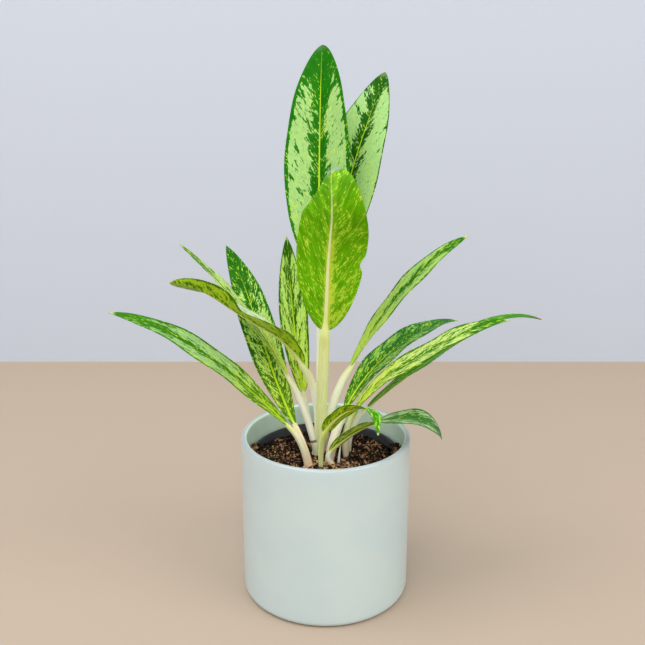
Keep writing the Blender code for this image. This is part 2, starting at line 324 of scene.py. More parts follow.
# %% Lamps and sky
def lamp(name, place, target, size, power, colour=(1, 1, 1)):
    """A square lamp that looks at a target."""
    light = bpy.data.lights.new(name, "AREA")
    light.size = size
    light.energy = power
    light.color = colour
    item = bpy.data.objects.new(name, light)
    item.location = place
    aim = np.array(target) - np.array(place)
    flat = math.hypot(aim[0], aim[1])
    item.rotation_euler = (math.atan2(flat, -aim[2]), 0, math.atan2(-aim[0], aim[1]))
    bpy.context.scene.collection.objects.link(item)


lamp("window", (-0.4, -2.0, 1.9), (0, 0, 0.2), 2.0, 26, (1.0, 0.99, 0.98))
lamp("side", (1.3, -0.8, 1.5), (0, 0, 0.15), 1.2, 13, (0.99, 1.0, 0.95))
lamp("above", (-0.7, -0.2, 1.8), (0, 0, 0.1), 1.0, 14)
SKY_COLOUR, SKY_STRENGTH = (0.84, 0.87, 0.92, 1), 0.86
sky = bpy.data.worlds.new("sky")
sky.use_nodes = True
background = sky.node_tree.nodes["Background"].inputs
background["Color"].default_value = SKY_COLOUR
background["Strength"].default_value = SKY_STRENGTH
bpy.context.scene.world = sky
bpy.context.scene.view_settings.view_transform = "Standard"
print("lamps:", len(bpy.data.lights))

# %% [markdown]
# ## The glazed pot
#
# The pot is a turned shape: a flat underside, a rounded foot, a straight wall and a half-round lip
# that runs down inside to the floor. It could be a cylinder with its edges bevelled, but a profile
# that is carried round the axis gives the foot, the lip and the inner corner each their own round.
#
# Real glaze is never quite even. It is a little thicker in some places, and its skin has a faint
# ripple; noise gives both. The lip is painted greyer, as shade that tones down the light it
# catches, and the inside is painted brighter and greener, as light bounced off the leaves.

# %% The pot's surface
POT_RADIUS, POT_HEIGHT, POT_WALL, POT_FLOOR = 0.0625, 0.124, 0.0043, 0.006
POT_FOOT_ROUND, POT_INNER_ROUND = 0.0045, 0.004


def arc(centre, radius, start, end, steps):
    """Points of a round from one angle in degrees to another."""
    angle = np.radians(np.linspace(start, end, steps + 1))
    return [(centre[0] + radius * math.cos(a), centre[1] + radius * math.sin(a)) for a in angle]


def line(start, end, steps):
    """Points between two others, without the ends."""
    share = np.linspace(0, 1, steps + 2)[1:-1, None]
    return (np.array(start) * (1 - share) + np.array(end) * share).tolist()


def pot_profile():
    """Underside, foot, wall, lip, inner wall, inner corner and floor."""
    inner, lip = POT_RADIUS - POT_WALL, POT_WALL / 2
    foot = arc((POT_RADIUS - POT_FOOT_ROUND, POT_FOOT_ROUND), POT_FOOT_ROUND, -90, 0, 8)
    top = arc((POT_RADIUS - lip, POT_HEIGHT - lip), lip, 0, 180, 14)
    corner = arc((inner - POT_INNER_ROUND, POT_FLOOR + POT_INNER_ROUND), POT_INNER_ROUND, 0, -90, 6)
    return (
        [(0, 0), *line((0, 0), foot[0], 6), *foot, *line(foot[-1], top[0], 24), *top]
        + [*line(top[-1], corner[0], 24), *corner]
        + [*line(corner[-1], (0, POT_FLOOR), 6), (0, POT_FLOOR)]
    )


pot = turned("pot", pot_profile(), 144)
print("pot faces:", len(pot.data.polygons))

# %% The pot's glaze
GLAZE_CLOUDS, GLAZE_RIPPLES = 22.0, 260.0
LIP_SHADE_STARTS, LIP_SHADE_FULL = 2.6 * MM, 0.6 * MM
INSIDE_LIGHT_FULL, INSIDE_LIGHT_ENDS = 0.6 * MM, 1.8 * MM


def glaze():
    """Pale mint glaze, cloudy, rippled, with painted shade on the lip and painted light inside."""
    material, n, shader = new_material(
        "mint glaze", Roughness=0.30, Coat_Weight=0.22, Coat_Roughness=0.16, IOR=1.5
    )
    place = n.place()
    height = n.parts(place)[2]
    cloud = n.noise(place, GLAZE_CLOUDS, 3.0, 0.55)
    body = n.mix(n.between(cloud, 0.3, 0.7), shade(194, 211, 212), shade(200, 215, 211))
    # Painted shade: the lip is greyer, to tone down the light that it catches.
    lip = n.between(height, POT_HEIGHT - LIP_SHADE_STARTS, POT_HEIGHT - LIP_SHADE_FULL)
    body = n.mix(lip, body, shade(176, 187, 189))
    # Painted light: the inside is brighter and greener, as light bounced off the leaves.
    inner = POT_RADIUS - POT_WALL
    reach = n.add("VectorMath", {0: n.flat(place)}, operation="LENGTH").outputs["Value"]
    inside = n.between(reach, inner + INSIDE_LIGHT_FULL, inner + INSIDE_LIGHT_ENDS, 1.0, 0.0)
    body = n.mix(inside, body, shade(230, 252, 234))
    n.feed(shader.inputs["Base Color"], body)
    ripple = n.noise(place, GLAZE_RIPPLES, 2.0)
    n.feed(shader.inputs["Normal"], n.bump(ripple, 0.05, 0.2 * MM))
    return material


dress(pot, glaze(), "mint_glaze", "cachepot")
print("glaze nodes:", len(pot.active_material.node_tree.nodes))

# %% [markdown]
# ## The nursery pot
#
# A thin tapered pot of black plastic stands inside. Only its rim and the upper band of its inner
# wall can be seen, where the soil has settled. It is turned as the cachepot is, because a real one
# is moulded round too, and dust noise makes its black plastic dull in places.

# %% The nursery pot's surface and plastic
GAP = 0.0003
NURSERY_BASE, NURSERY_RIM, NURSERY_TOP = 0.041, 0.055, 0.109
NURSERY_WALL, NURSERY_BEAD, NURSERY_BEAD_DEPTH = 0.0012, 0.0011, 0.004
DUST_PATCHES, PLASTIC_GRAIN = 90.0, 900.0


def nursery_radius(height):
    """Outer radius of the tapered wall."""
    bottom = POT_FLOOR + GAP
    share = (height - bottom) / (NURSERY_TOP - bottom)
    return NURSERY_BASE + share * (NURSERY_RIM - NURSERY_BEAD - NURSERY_BASE)


def nursery_profile():
    """Underside, wall, rounded bead, inner wall and floor."""
    bottom, lip = POT_FLOOR + GAP, NURSERY_BEAD / 2
    bead = NURSERY_TOP - NURSERY_BEAD_DEPTH
    inside = nursery_radius(NURSERY_TOP) - NURSERY_WALL
    rim = arc((NURSERY_RIM - lip, NURSERY_TOP - lip), lip, 0, 90, 5)
    return [
        (0, bottom),
        (nursery_radius(bottom), bottom),
        (nursery_radius(bead), bead),
        (NURSERY_RIM, bead + lip),
        *rim,
        (inside + lip, NURSERY_TOP),
        (inside, NURSERY_TOP - lip),
        (nursery_radius(bottom) - NURSERY_WALL, bottom + NURSERY_WALL),
        (0, bottom + NURSERY_WALL),
    ]


def black_plastic():
    """Black moulded plastic, dulled by a thin film of soil dust."""
    material, n, shader = new_material("black plastic", Roughness=0.45)
    place = n.place()
    dust = n.between(n.noise(place, DUST_PATCHES, 4.0, 0.6), 0.45, 0.75)
    n.feed(shader.inputs["Base Color"], n.mix(dust, shade(17, 18, 27), shade(40, 36, 36)))
    n.feed(shader.inputs["Roughness"], n.between(dust, 0, 1, 0.38, 0.7))
    n.feed(shader.inputs["Normal"], n.bump(n.noise(place, PLASTIC_GRAIN), 0.1, 0.1 * MM))
    return material


nursery = turned("nursery_pot_wall", nursery_profile(), 128, sharp=50)
dress(nursery, black_plastic(), "black_plastic", "nursery_pot")
print("nursery pot faces:", len(nursery.data.polygons))

# %% [markdown]
# ## The leaf's own line
#
# Every leaf hangs on one line, which starts in the soil, runs up the stalk and out along the
# blade's middle. Three angles steer it: how steeply it rises, where it points, and how the blade is
# turned about it. Each is read between a few values set along the leaf, and adding up the small
# steps gives the line. A leaf could also be bent by hand, but angles say what a leaf does, and one
# function then serves all fourteen. These habits are the same as the solids', so the fine leaf lies
# on the plain one.

# %% Shoots and leaves
@dataclass
class Leaf:
    """One leaf's habit, in metres and degrees.

    rise is read at the soil, the collar, a third, two thirds and the tip. heading is read at the
    soil, the collar, mid blade and the tip. roll is read at even steps from collar to tip. fold is
    how far each half rises from flat, fullness the outline's powers at the base and at the tip, and
    stalk_radii the stalk's radius at the soil and at the collar.
    """

    name: str
    shoot: str
    foot: tuple
    stalk: float
    blade: float
    width: float
    rise: tuple
    heading: tuple
    roll: tuple
    fold: float
    fullness: tuple
    stalk_radii: tuple


# Each shoot's centre, radius and height
SHOOTS = {
    "stems_main": ((-0.0045, 0.0070), 0.0065, 0.116),
    "stems_left": ((-0.0130, -0.0165), 0.0038, 0.1115),
    "stems_front": ((0.0018, -0.0155), 0.0056, 0.1120),
    "stems_right": ((0.0160, 0.0040), 0.0055, 0.1115),
}

LEAVES = (
    Leaf("leaf_tall_back", "stems_main", (-0.004, 0.010), 0.138, 0.157, 0.050,
         (95, 83, 79, 77, 65), (97, 97, 86, 84), (-8, -30),
         20, (0.55, 0.60), (0.0036, 0.0026)),
    Leaf("leaf_back_right", "stems_main", (-0.004, 0.012), 0.133, 0.150, 0.047,
         (89, 81, 71, 63, 63), (45, 45, 46, 43), (25, 5),
         19, (0.65, 0.70), (0.0036, 0.0026)),
    Leaf("leaf_front", "stems_main", (-0.004, 0.004), 0.103, 0.120, 0.050,
         (80, 75, 82, 65, 150), (278, 280, 285, 268), (-15, -38),
         30, (0.55, 0.50), (0.0042, 0.0036)),
    Leaf("leaf_inner_left", "stems_main", (-0.008, 0.011), 0.042, 0.118, 0.021,
         (62, 75, 76, 82, 80), (126, 125, 119, 119), (-16, -28),
         15, (0.75, 0.85), (0.0030, 0.0020)),
    Leaf("leaf_left_thin", "stems_main", (-0.007, 0.0016), 0.064, 0.123, 0.0205,
         (79, 63, 55, 51, 44), (171, 177.5, 185, 189), (-5, -8),
         10, (0.75, 0.85), (0.0032, 0.0021)),
    Leaf("leaf_left_olive", "stems_main", (-0.007, 0.003), 0.073, 0.128, 0.030,
         (102, 60, 34, 39, 13), (209, 210, 205, 233), (12, -5, 10, 56),
         34, (0.75, 0.85), (0.0038, 0.0026)),
    Leaf("leaf_upper_right", "stems_main", (-0.002, 0.008), 0.067, 0.133, 0.021,
         (83, 58, 51, 41, 22), (25, 22, 20, 21), (-9, 19),
         10, (0.75, 0.85), (0.0038, 0.0027)),
    Leaf("leaf_left_long", "stems_left", (-0.012, -0.016), 0.030, 0.141, 0.026,
         (71, 53.5, 65, 64, 47), (147, 137.5, 137, 132.5), (-24, -19),
         10, (0.90, 0.85), (0.0027, 0.0021)),
    Leaf("leaf_far_left", "stems_left", (-0.014, -0.017), 0.035, 0.150, 0.023,
         (82, 49, 45, 34, 16), (181, 192, 188, 196), (-24, -20),
         10, (0.75, 0.85), (0.0026, 0.0019)),
    Leaf("leaf_right_dark", "stems_front", (0.003, -0.0100), 0.038, 0.123, 0.028,
         (76, 48, 33, 21, -6), (51, 48, 31, 28), (-4, -1),
         20, (0.90, 0.85), (0.0042, 0.0030)),
    Leaf("leaf_small_front", "stems_front", (-0.0035, -0.0195), 0.0315, 0.068, 0.0145,
         (83, 57, 43, 3, -92), (261, 305, 339, 269), (-32, -37, -26, -10),
         15, (0.60, 0.70), (0.0022, 0.0022)),
    Leaf("leaf_small_right", "stems_front", (0.003, -0.0155), 0.009, 0.098, 0.032,
         (126, 48, 30, 3, -74), (-2, -2, -15, 17), (-46, 21),
         10, (0.80, 0.70), (0.0026, 0.0022)),
    Leaf("leaf_right_long", "stems_right", (0.015, 0.001), 0.035, 0.134, 0.022,
         (97, 61, 36, 34, 12), (-6, -10, -14, -10), (21, 18),
         10, (0.85, 0.85), (0.0030, 0.0021)),
    Leaf("leaf_far_right", "stems_right", (0.017, 0.007), 0.037, 0.149, 0.024,
         (91, 40, 34, 33, -17), (16, 10, 6, 2), (-11, -2),
         16, (0.75, 0.85), (0.0030, 0.0020)),
)

# %% The line of a leaf
SOIL_CROWN, SOIL_EDGE = 0.1055, 0.1030
STALK_START = 0.003
LINE_STEPS = 400


def leaf_line(leaf, places):
    """Points, direction, upward side and right-hand side of the leaf at distances along it."""
    length = leaf.stalk + leaf.blade
    along = np.linspace(0.0, length, LINE_STEPS)
    rise_at = [0.0] + [leaf.stalk + leaf.blade * share for share in (0, 1 / 3, 2 / 3, 1)]
    heading_at = [0.0] + [leaf.stalk + leaf.blade * share for share in (0, 1 / 2, 1)]
    rise = np.radians(np.interp(along, rise_at, leaf.rise))
    heading = np.radians(np.interp(along, heading_at, leaf.heading))
    roll_at = np.linspace(leaf.stalk, length, len(leaf.roll))
    roll = np.radians(np.interp(along, roll_at, leaf.roll))
    level = np.stack([np.cos(heading), np.sin(heading), 0 * heading], axis=-1)
    upward = np.array([0.0, 0.0, 1.0])
    direction = np.cos(rise)[:, None] * level + np.sin(rise)[:, None] * upward
    face = -np.sin(rise)[:, None] * level + np.cos(rise)[:, None] * upward
    side = np.stack([np.sin(heading), -np.cos(heading), 0 * heading], axis=-1)
    cosine, sine = np.cos(roll)[:, None], np.sin(roll)[:, None]
    face, side = cosine * face + sine * side, cosine * side - sine * face
    steps = (direction[1:] + direction[:-1]) / 2 * np.diff(along)[:, None]
    start = np.array([*leaf.foot, SOIL_CROWN + STALK_START])
    points = np.vstack([np.zeros(3), np.cumsum(steps, axis=0)]) + start
    return [
        np.stack([np.interp(places, along, values[:, axis]) for axis in range(3)], axis=-1)
        for values in (points, direction, face, side)
    ]


# %% [markdown]
# ## A leaf blade
#
# The outline is a power law on both ends: the half width is share^a (1 - share)^b, scaled to its
# widest. The two halves rise from the midrib like a shallow V that flattens outward. On top of that
# come the small forms that make a blade look grown: a groove over the midrib, faint quilting
# between the side veins, and a slow wave along the margins. A few blades stray from their outline
# in places, with a notch or a wider stretch. A cross-section is one closed loop, the upper side out
# and the underside back, so the blade is a flat tube that thins to its margins. A single sheet with
# a Solidify modifier would keep blunt margins, and its underside couldn't have marks of its own.

# %% The blade's surface
BLADE_THICKNESS = 0.0007
BLADE_NECK, BLADE_NECK_POWER = 0.0016, 8
FOLD_EASE, FOLD_TIP_EASE = 0.3, 0.35
BLADE_ROWS, BLADE_COLUMNS = 110, 33
GROOVE_DEPTH, GROOVE_HALF = 0.35 * MM, 1.1 * MM
VEIN_SLOPE, VEIN_BEND = 1.15, 18.0
VEIN_SPACING, VEIN_RELIEF = 7.0 * MM, 0.13 * MM
MARGIN_WAVE, MARGIN_WAVES = 0.7 * MM, 3.0
THINNEST_HALF = 0.15 * MM

# Where along the blade, on which side, how much wider and over what spread its outline strays
EDGES = {
    "leaf_front": ((0.42, -1, -0.12, 0.04), (0.93, 1, -0.10, 0.05), (0.25, 1, 0.03, 0.04)),
    "leaf_small_front": ((0.73, -1, 0.22, 0.07), (0.73, 1, 0.30, 0.07),
                         (0.93, -1, -0.5, 0.09), (0.95, 1, -0.4, 0.08)),
    "leaf_inner_left": ((0.55, 1, 0.08, 0.1),),
    "leaf_back_right": ((0.35, -1, -0.05, 0.05),),
    "leaf_left_thin": ((0.22, 1, 0.3, 0.12), (0.22, -1, 0.2, 0.12)),
    "leaf_left_olive": ((0.54, -1, -0.42, 0.08), (0.28, -1, 0.5, 0.10), (0.46, 1, 0.17, 0.14)),
}


def half_width(leaf, share):
    """Half the blade's width: a power law on both ends, with a short neck at the collar."""
    toward_base, toward_tip = leaf.fullness
    widest = toward_base / (toward_base + toward_tip)
    outline = share**toward_base * (1 - share) ** toward_tip
    outline = outline / (widest**toward_base * (1 - widest) ** toward_tip)
    half = leaf.width / 2 * outline + BLADE_NECK * (1 - share) ** BLADE_NECK_POWER
    return np.maximum(half, THINNEST_HALF)


def vein_place(across, along):
    """Where the side vein through a point leaves the midrib: it climbs and bends to the tip."""
    return along - VEIN_SLOPE * np.abs(across) - VEIN_BEND * across**2


def blade_surface(leaf, seed):
    """Upper side and underside of a blade as one loop of points per row, with their marks.

    Each point is middle + across * side + lift * face, where lift adds the fold, the groove, the
    quilting and the wave. Rows and columns lie closer together towards the ends and the margins.
    """
    even = np.linspace(0, 1, BLADE_ROWS)
    share = 0.5 * even + 0.5 * (0.5 - 0.5 * np.cos(math.pi * even))
    middle, _, face, side = leaf_line(leaf, leaf.stalk + share * leaf.blade)
    half = half_width(leaf, share)[:, None]
    v = np.sin(np.linspace(-math.pi / 2, math.pi / 2, BLADE_COLUMNS))[None, :]
    for place, edge_side, amount, spread in EDGES.get(leaf.name, ()):
        bump = amount * np.exp(-(((share - place) / spread) ** 2))
        half = half * (1 + bump[:, None] * (v * edge_side > 0))
    reach = np.abs(v)
    share = share[:, None]
    tilt = np.radians(leaf.fold) * (1 - FOLD_TIP_EASE * share) * (1 - FOLD_EASE * reach)
    across, along = half * v, share * leaf.blade
    lift = half * reach * np.sin(tilt)
    lift = lift - GROOVE_DEPTH * np.exp(-((across / GROOVE_HALF) ** 2)) * (1 - share) ** 0.5
    quilt = np.cos(math.tau * vein_place(across, along) / VEIN_SPACING)
    lift = lift + VEIN_RELIEF * quilt * np.sqrt(reach) * (1 - reach**4) * smooth(share, 0, 0.1)
    wave = np.sin(math.tau * MARGIN_WAVES * share + seed + np.sign(v))
    lift = lift + MARGIN_WAVE * wave * reach**3 * 4 * share * (1 - share)
    flat = across * np.cos(tilt)
    top = middle[:, None] + flat[..., None] * side[:, None] + lift[..., None] * face[:, None]
    depth = BLADE_THICKNESS * (1 - 0.6 * reach**4) * np.ones_like(share)
    inward = -np.cos(tilt)[..., None] * face[:, None]
    inward = inward + (np.sign(v) * np.sin(tilt))[..., None] * side[:, None]
    under = top + depth[..., None] * inward
    loops = np.concatenate([top, under[:, ::-1]], axis=1)
    wide, long = np.broadcast_to(v, across.shape), np.broadcast_to(share, across.shape)
    upper, lower = np.ones_like(across), np.zeros_like(across)
    places = np.stack([wide, long, upper], axis=-1)
    back = np.stack([wide, long, lower], axis=-1)[:, ::-1]
    real = np.stack([across * 100, along * 100 * np.ones_like(across), seed + 0 * across], axis=-1)
    marks = {
        "leaf_share": np.concatenate([places, back], axis=1),
        "leaf_cm": np.concatenate([real, real[:, ::-1]], axis=1),
    }
    return loops, marks


# %% [markdown]
# ## How the leaves are marked
#
# The plant's markings are a kind of natural tie-dye. Cells without their full green lie between the
# side veins, so the pale blotches are drawn out along those veins and their ends look feathered.
# The midrib, the margin and most of the tip stay whole.
#
# Such marks could be painted by hand as a picture for each leaf. Nodes are better here, because one
# pattern fits every leaf at any size. It is made on the leaf's own coordinates: how far across, how
# far along, and which side vein a point belongs to. Noise that is stretched along the veins gives
# the blotches, and a finer one their ragged flecks.

# %% Places and noise on a blade
# Cells of noise per centimetre, along and across the side veins
COARSE, MIDDLE, FINE, SKIN = (1.1, 0.9), (3.0, 2.4), (7.5, 7.0), (26.0, 13.0)
HALVES_APART = 3.1
EVEN_SLOPE = 0.656


def leaf_places(n, given):
    """Where a point lies on its blade, and noise that is stretched along the side veins.

    A point's grain is how far up the midrib its side vein starts. EVEN_SLOPE is one over the root
    of (1 + VEIN_SLOPE^2), so a leaf whose marks lie steeper has them drawn out by that much more.
    """
    across, along, upper = n.mark("leaf_share")
    cm_across, cm_along, seed = n.mark("leaf_cm")
    reach, cm_reach = n.maths("ABSOLUTE", across), n.maths("ABSOLUTE", cm_across)
    side = n.maths("SIGN", across)
    half = n.times_plus(side, HALVES_APART, seed)
    bend = n.times(n.maths("POWER", cm_reach, 2.0), VEIN_BEND / 100)
    vein = n.minus(n.times_plus(cm_reach, -VEIN_SLOPE, cm_along), bend)
    slope, size = given["Slope"], given["Blotch Size"]
    grain = n.minus(cm_along, n.times(cm_reach, slope))
    tilted = n.times(n.maths("SQRT", n.times_plus(slope, slope, 1.0)), EVEN_SLOPE)

    def drawn_out(cells_along, cells_across):
        q = n.maths("DIVIDE", n.maths("DIVIDE", n.times(grain, cells_along), size), tilted)
        x = n.times(n.maths("DIVIDE", n.times(cm_reach, cells_across), size), tilted)
        x = n.maths("DIVIDE", x, given["Stretch"])
        return n.noise(n.join(q, x, n.plus(half, cells_along)), 1.0, 1.0, 0.55)

    coarse, middle, fine, skin = (drawn_out(*grid) for grid in (COARSE, MIDDLE, FINE, SKIN))
    return SimpleNamespace(
        along=along, upper=upper, reach=reach, cm_reach=cm_reach, side=side, half=half, vein=vein,
        grain=grain, tilted=tilted, coarse=coarse, middle=middle, fine=fine, skin=skin,
        depth=n.between(coarse, 0.3, 0.7, 0.78, 1.12),
        rib_half=n.between(along, 0.0, given["Rib Length"], 0.11, 0.03),
    )


# %% [markdown]
# ### Green or pale
#
# Three sizes of noise add up to one level, and where it passes a threshold the leaf is pale. A bias
# is easier to steer than the noise: it keeps the centre, the margin and the tip green, as on the
# plant, and lets each leaf have more or fewer blotches.

# %% Where a blade is pale
COARSE_SHARE, MIDDLE_SHARE, FINE_SHARE = 0.40, 0.32, 0.28
EDGE_GREEN, TIP_GREEN = 0.3, 0.17


def pale_level(n, given, at):
    """How likely pale is at a point: three sizes of blotch, plus a bias.

    The bias rises with the leaf's amount of pale and near the collar. It falls along the centre,
    the margin and the tip, which stay green.
    """
    level = n.times_plus(at.middle, MIDDLE_SHARE, n.times(at.fine, FINE_SHARE))
    level = n.times_plus(at.coarse, COARSE_SHARE, level)
    amount = n.times(n.minus(given["Pale Amount"], 0.5), 0.4)
    at_base = n.times(n.between(at.along, 0.0, 0.5, 1.0, 0.0), given["Base Pale"])
    amount = n.plus(amount, n.times_plus(at.side, given["Side Bias"], at_base))
    streak_reach = n.times(given["Centre Streak"], n.times_plus(at.along, 1.9, 0.75))
    streak = n.between(at.reach, 0.0, streak_reach, given["Streak Depth"], 0.0)
    edge_start = n.times_plus(given["Margin"], -2.4, 1.0)
    edge_end = n.times_plus(given["Margin"], -0.4, 1.0)
    edge = n.between(at.reach, edge_start, edge_end, 0.0, EDGE_GREEN)
    tip_start = n.times_plus(given["Green Tip"], -1.3, 0.95)
    tip_end = n.times_plus(given["Green Tip"], -0.4, 1.0)
    tip = n.between(at.along, tip_start, tip_end, 0.0, TIP_GREEN)
    return n.minus(n.plus(level, amount), n.plus(streak, n.plus(edge, tip)))


# %% [markdown]
# ### Specks
#
# Small lime specks lie on green and pale alike, as if the leaf had been sprayed. They could be
# scattered dots, but the peaks of one more noise are as small and cost one node.

# %% Small lime specks
SPECKS_ACROSS, SPECKS_ALONG = 6.5, 8.5


def lime_specks(n, given, at):
    """The peaks of a fine noise. They grow fewer towards the tip and where coarse is low."""
    x = n.times(n.times(at.cm_reach, SPECKS_ACROSS), at.tilted)
    y = n.times(n.maths("DIVIDE", at.grain, at.tilted), SPECKS_ALONG)
    dots = n.noise(n.join(x, y, at.half), 1.0, 0.0)
    rarity = n.times_plus(given["Specks"], -0.25, 1.05)
    rarity = n.plus(rarity, n.between(at.along, 0.3, 1.0, 0.0, 0.08))
    rarity = n.times_plus(at.coarse, -0.5, rarity)
    return n.between(dots, rarity, n.plus(rarity, 0.07))


# %% [markdown]
# ### The two sides of a leaf
#
# The upper side is glossy and deep, with a bright midrib. The underside is duller and paler, and
# the marks only shine through it. Both are made from the same level, so a blotch lies in the same
# place on both sides, as it does in a real leaf.

# %% The upper side
def upper_side(n, given, at, pale, specks):
    """Greens and pales that both turn lime towards the collar, under specks and a midrib.

    The midrib thins towards the tip and is lost in the marks.
    """
    near_collar = n.times(n.between(at.along, 0.0, 0.55, 1.0, 0.0), given["Lime Base"])
    lime_here = n.times(near_collar, n.between(at.middle, 0.35, 0.6))
    green = n.mix(n.times(near_collar, 0.14), given["Dark"], given["Lime"])
    blotch = n.mix(lime_here, given["Pale"], given["Lime"])
    blotch = n.tint(blotch, n.between(at.fine, 0.3, 0.7, 0.86, 1.03))
    top = n.mix(pale, n.tint(green, at.depth), blotch)
    top = n.mix(n.times(specks, 0.85), top, n.mix(0.3, given["Lime"], given["Pale"]))
    rib = n.between(at.cm_reach, n.times(at.rib_half, 0.5), at.rib_half, 1.0, 0.0)
    length = given["Rib Length"]
    lost = n.between(at.along, n.times(length, 0.75), n.times(length, 1.05), 1.0, 0.0)
    return n.mix(n.times(rib, lost), top, given["Rib"])


# %% The underside
PALE_VEINS_APART = 1.5


def underside(n, given, at, pale, specks):
    """The same marks shine through, with fine pale side veins and pale feathers by the midrib.

    The green is deeper towards the tip. The feathers and the midrib fade on their way there.
    """
    aged = n.times_plus(n.between(at.along, 0.55, 0.9, 0.0, -0.75), given["Green Tip"], at.depth)
    green, light = n.tint(given["Under Dark"], aged), given["Under Pale"]
    under = n.mix(n.times(pale, given["Under Marks"]), green, light)
    under = n.mix(n.times(specks, 0.8), under, light)
    strayed = n.times_plus(at.coarse, 0.5, at.vein)
    ridge = n.maths("COSINE", n.times(strayed, math.tau / PALE_VEINS_APART))
    under = n.mix(n.between(ridge, 0.975, 0.999, 0.0, 0.36), under, light)
    feathered = n.times(given["Feather"], n.between(at.along, 0.4, 0.75, 1.0, 0.1))
    feather = n.times_plus(at.fine, -0.6, n.times_plus(at.middle, -0.6, at.cm_reach))
    feather = n.times_plus(at.side, 0.08, feather)
    under = n.mix(n.between(feather, -0.42, -0.22, feathered, 0.0), under, light)
    fading = n.between(at.along, 0.55, 0.95, 1.0, 0.25)
    rib_start, rib_end = n.times(at.rib_half, 0.8), n.times(at.rib_half, 1.4)
    rib = n.between(at.cm_reach, rib_start, rib_end, fading, 0.0)
    return n.mix(rib, under, given["Under Rib"])


# %% [markdown]
# ### One group for all leaves
#
# The steps above are put into a node group. All leaves share it, and each one sets its own amounts
# and colours on the group's inputs.

# %% The markings as a node group
COLOURS = ("Dark", "Pale", "Lime", "Rib", "Under Dark", "Under Pale", "Under Rib", "Tip")
AMOUNTS = (
    "Pale Amount", "Centre Streak", "Streak Depth", "Green Tip", "Margin", "Lime Base",
    "Base Pale", "Side Bias", "Blotch Size", "Rib Length", "Under Marks", "Specks", "Stretch",
    "Slope", "Feather",
)
PALE_STARTS, PALE_FULL = 0.490, 0.512
VEIL_STARTS, VEIL = 0.44, 0.12
POINT_STARTS, POINT_FULL = 0.965, 0.99
VEIN_LINES_APART = 0.23


def markings_group():
    """Colour, roughness and relief of a blade. A thin veil of pale lies round each blotch."""
    inputs = {label: ("Color", (1, 1, 1, 1)) for label in COLOURS}
    inputs |= {label: ("Float", 0.5) for label in AMOUNTS}
    outputs = {"Color": "Color", "Roughness": "Float", "Height": "Float"}
    n, given, out = new_group("leaf markings", inputs, outputs)
    at = leaf_places(n, given)
    level = pale_level(n, given, at)
    pale = n.between(level, PALE_STARTS, PALE_FULL)
    veil = n.between(level, VEIL_STARTS, PALE_STARTS, 0.0, VEIL)
    specks = lime_specks(n, given, at)
    top = upper_side(n, given, at, n.maths("MAXIMUM", pale, veil), specks)
    whole = n.mix(at.upper, underside(n, given, at, pale, specks), top)
    point = n.between(at.along, POINT_STARTS, POINT_FULL)
    n.feed(out["Color"], n.mix(point, whole, given["Tip"]))
    n.feed(out["Roughness"], n.between(at.middle, 0.25, 0.75, 0.36, 0.5))
    lines = n.maths("COSINE", n.times(at.vein, math.tau / VEIN_LINES_APART))
    n.feed(out["Height"], n.times_plus(lines, 0.25, at.skin))
    return n.tree


MARKINGS = markings_group()
print("nodes in the markings:", len(MARKINGS.nodes))

# %% [markdown]
# ## A look for each leaf
#
# Old leaves are dark with few blotches, young ones are almost all pale, and a leaf that is seen
# from below looks olive. Fourteen full lists would hide that, so each leaf names only what sets it
# apart from an ordinary one. Leaves that the window shines on get more gloss.

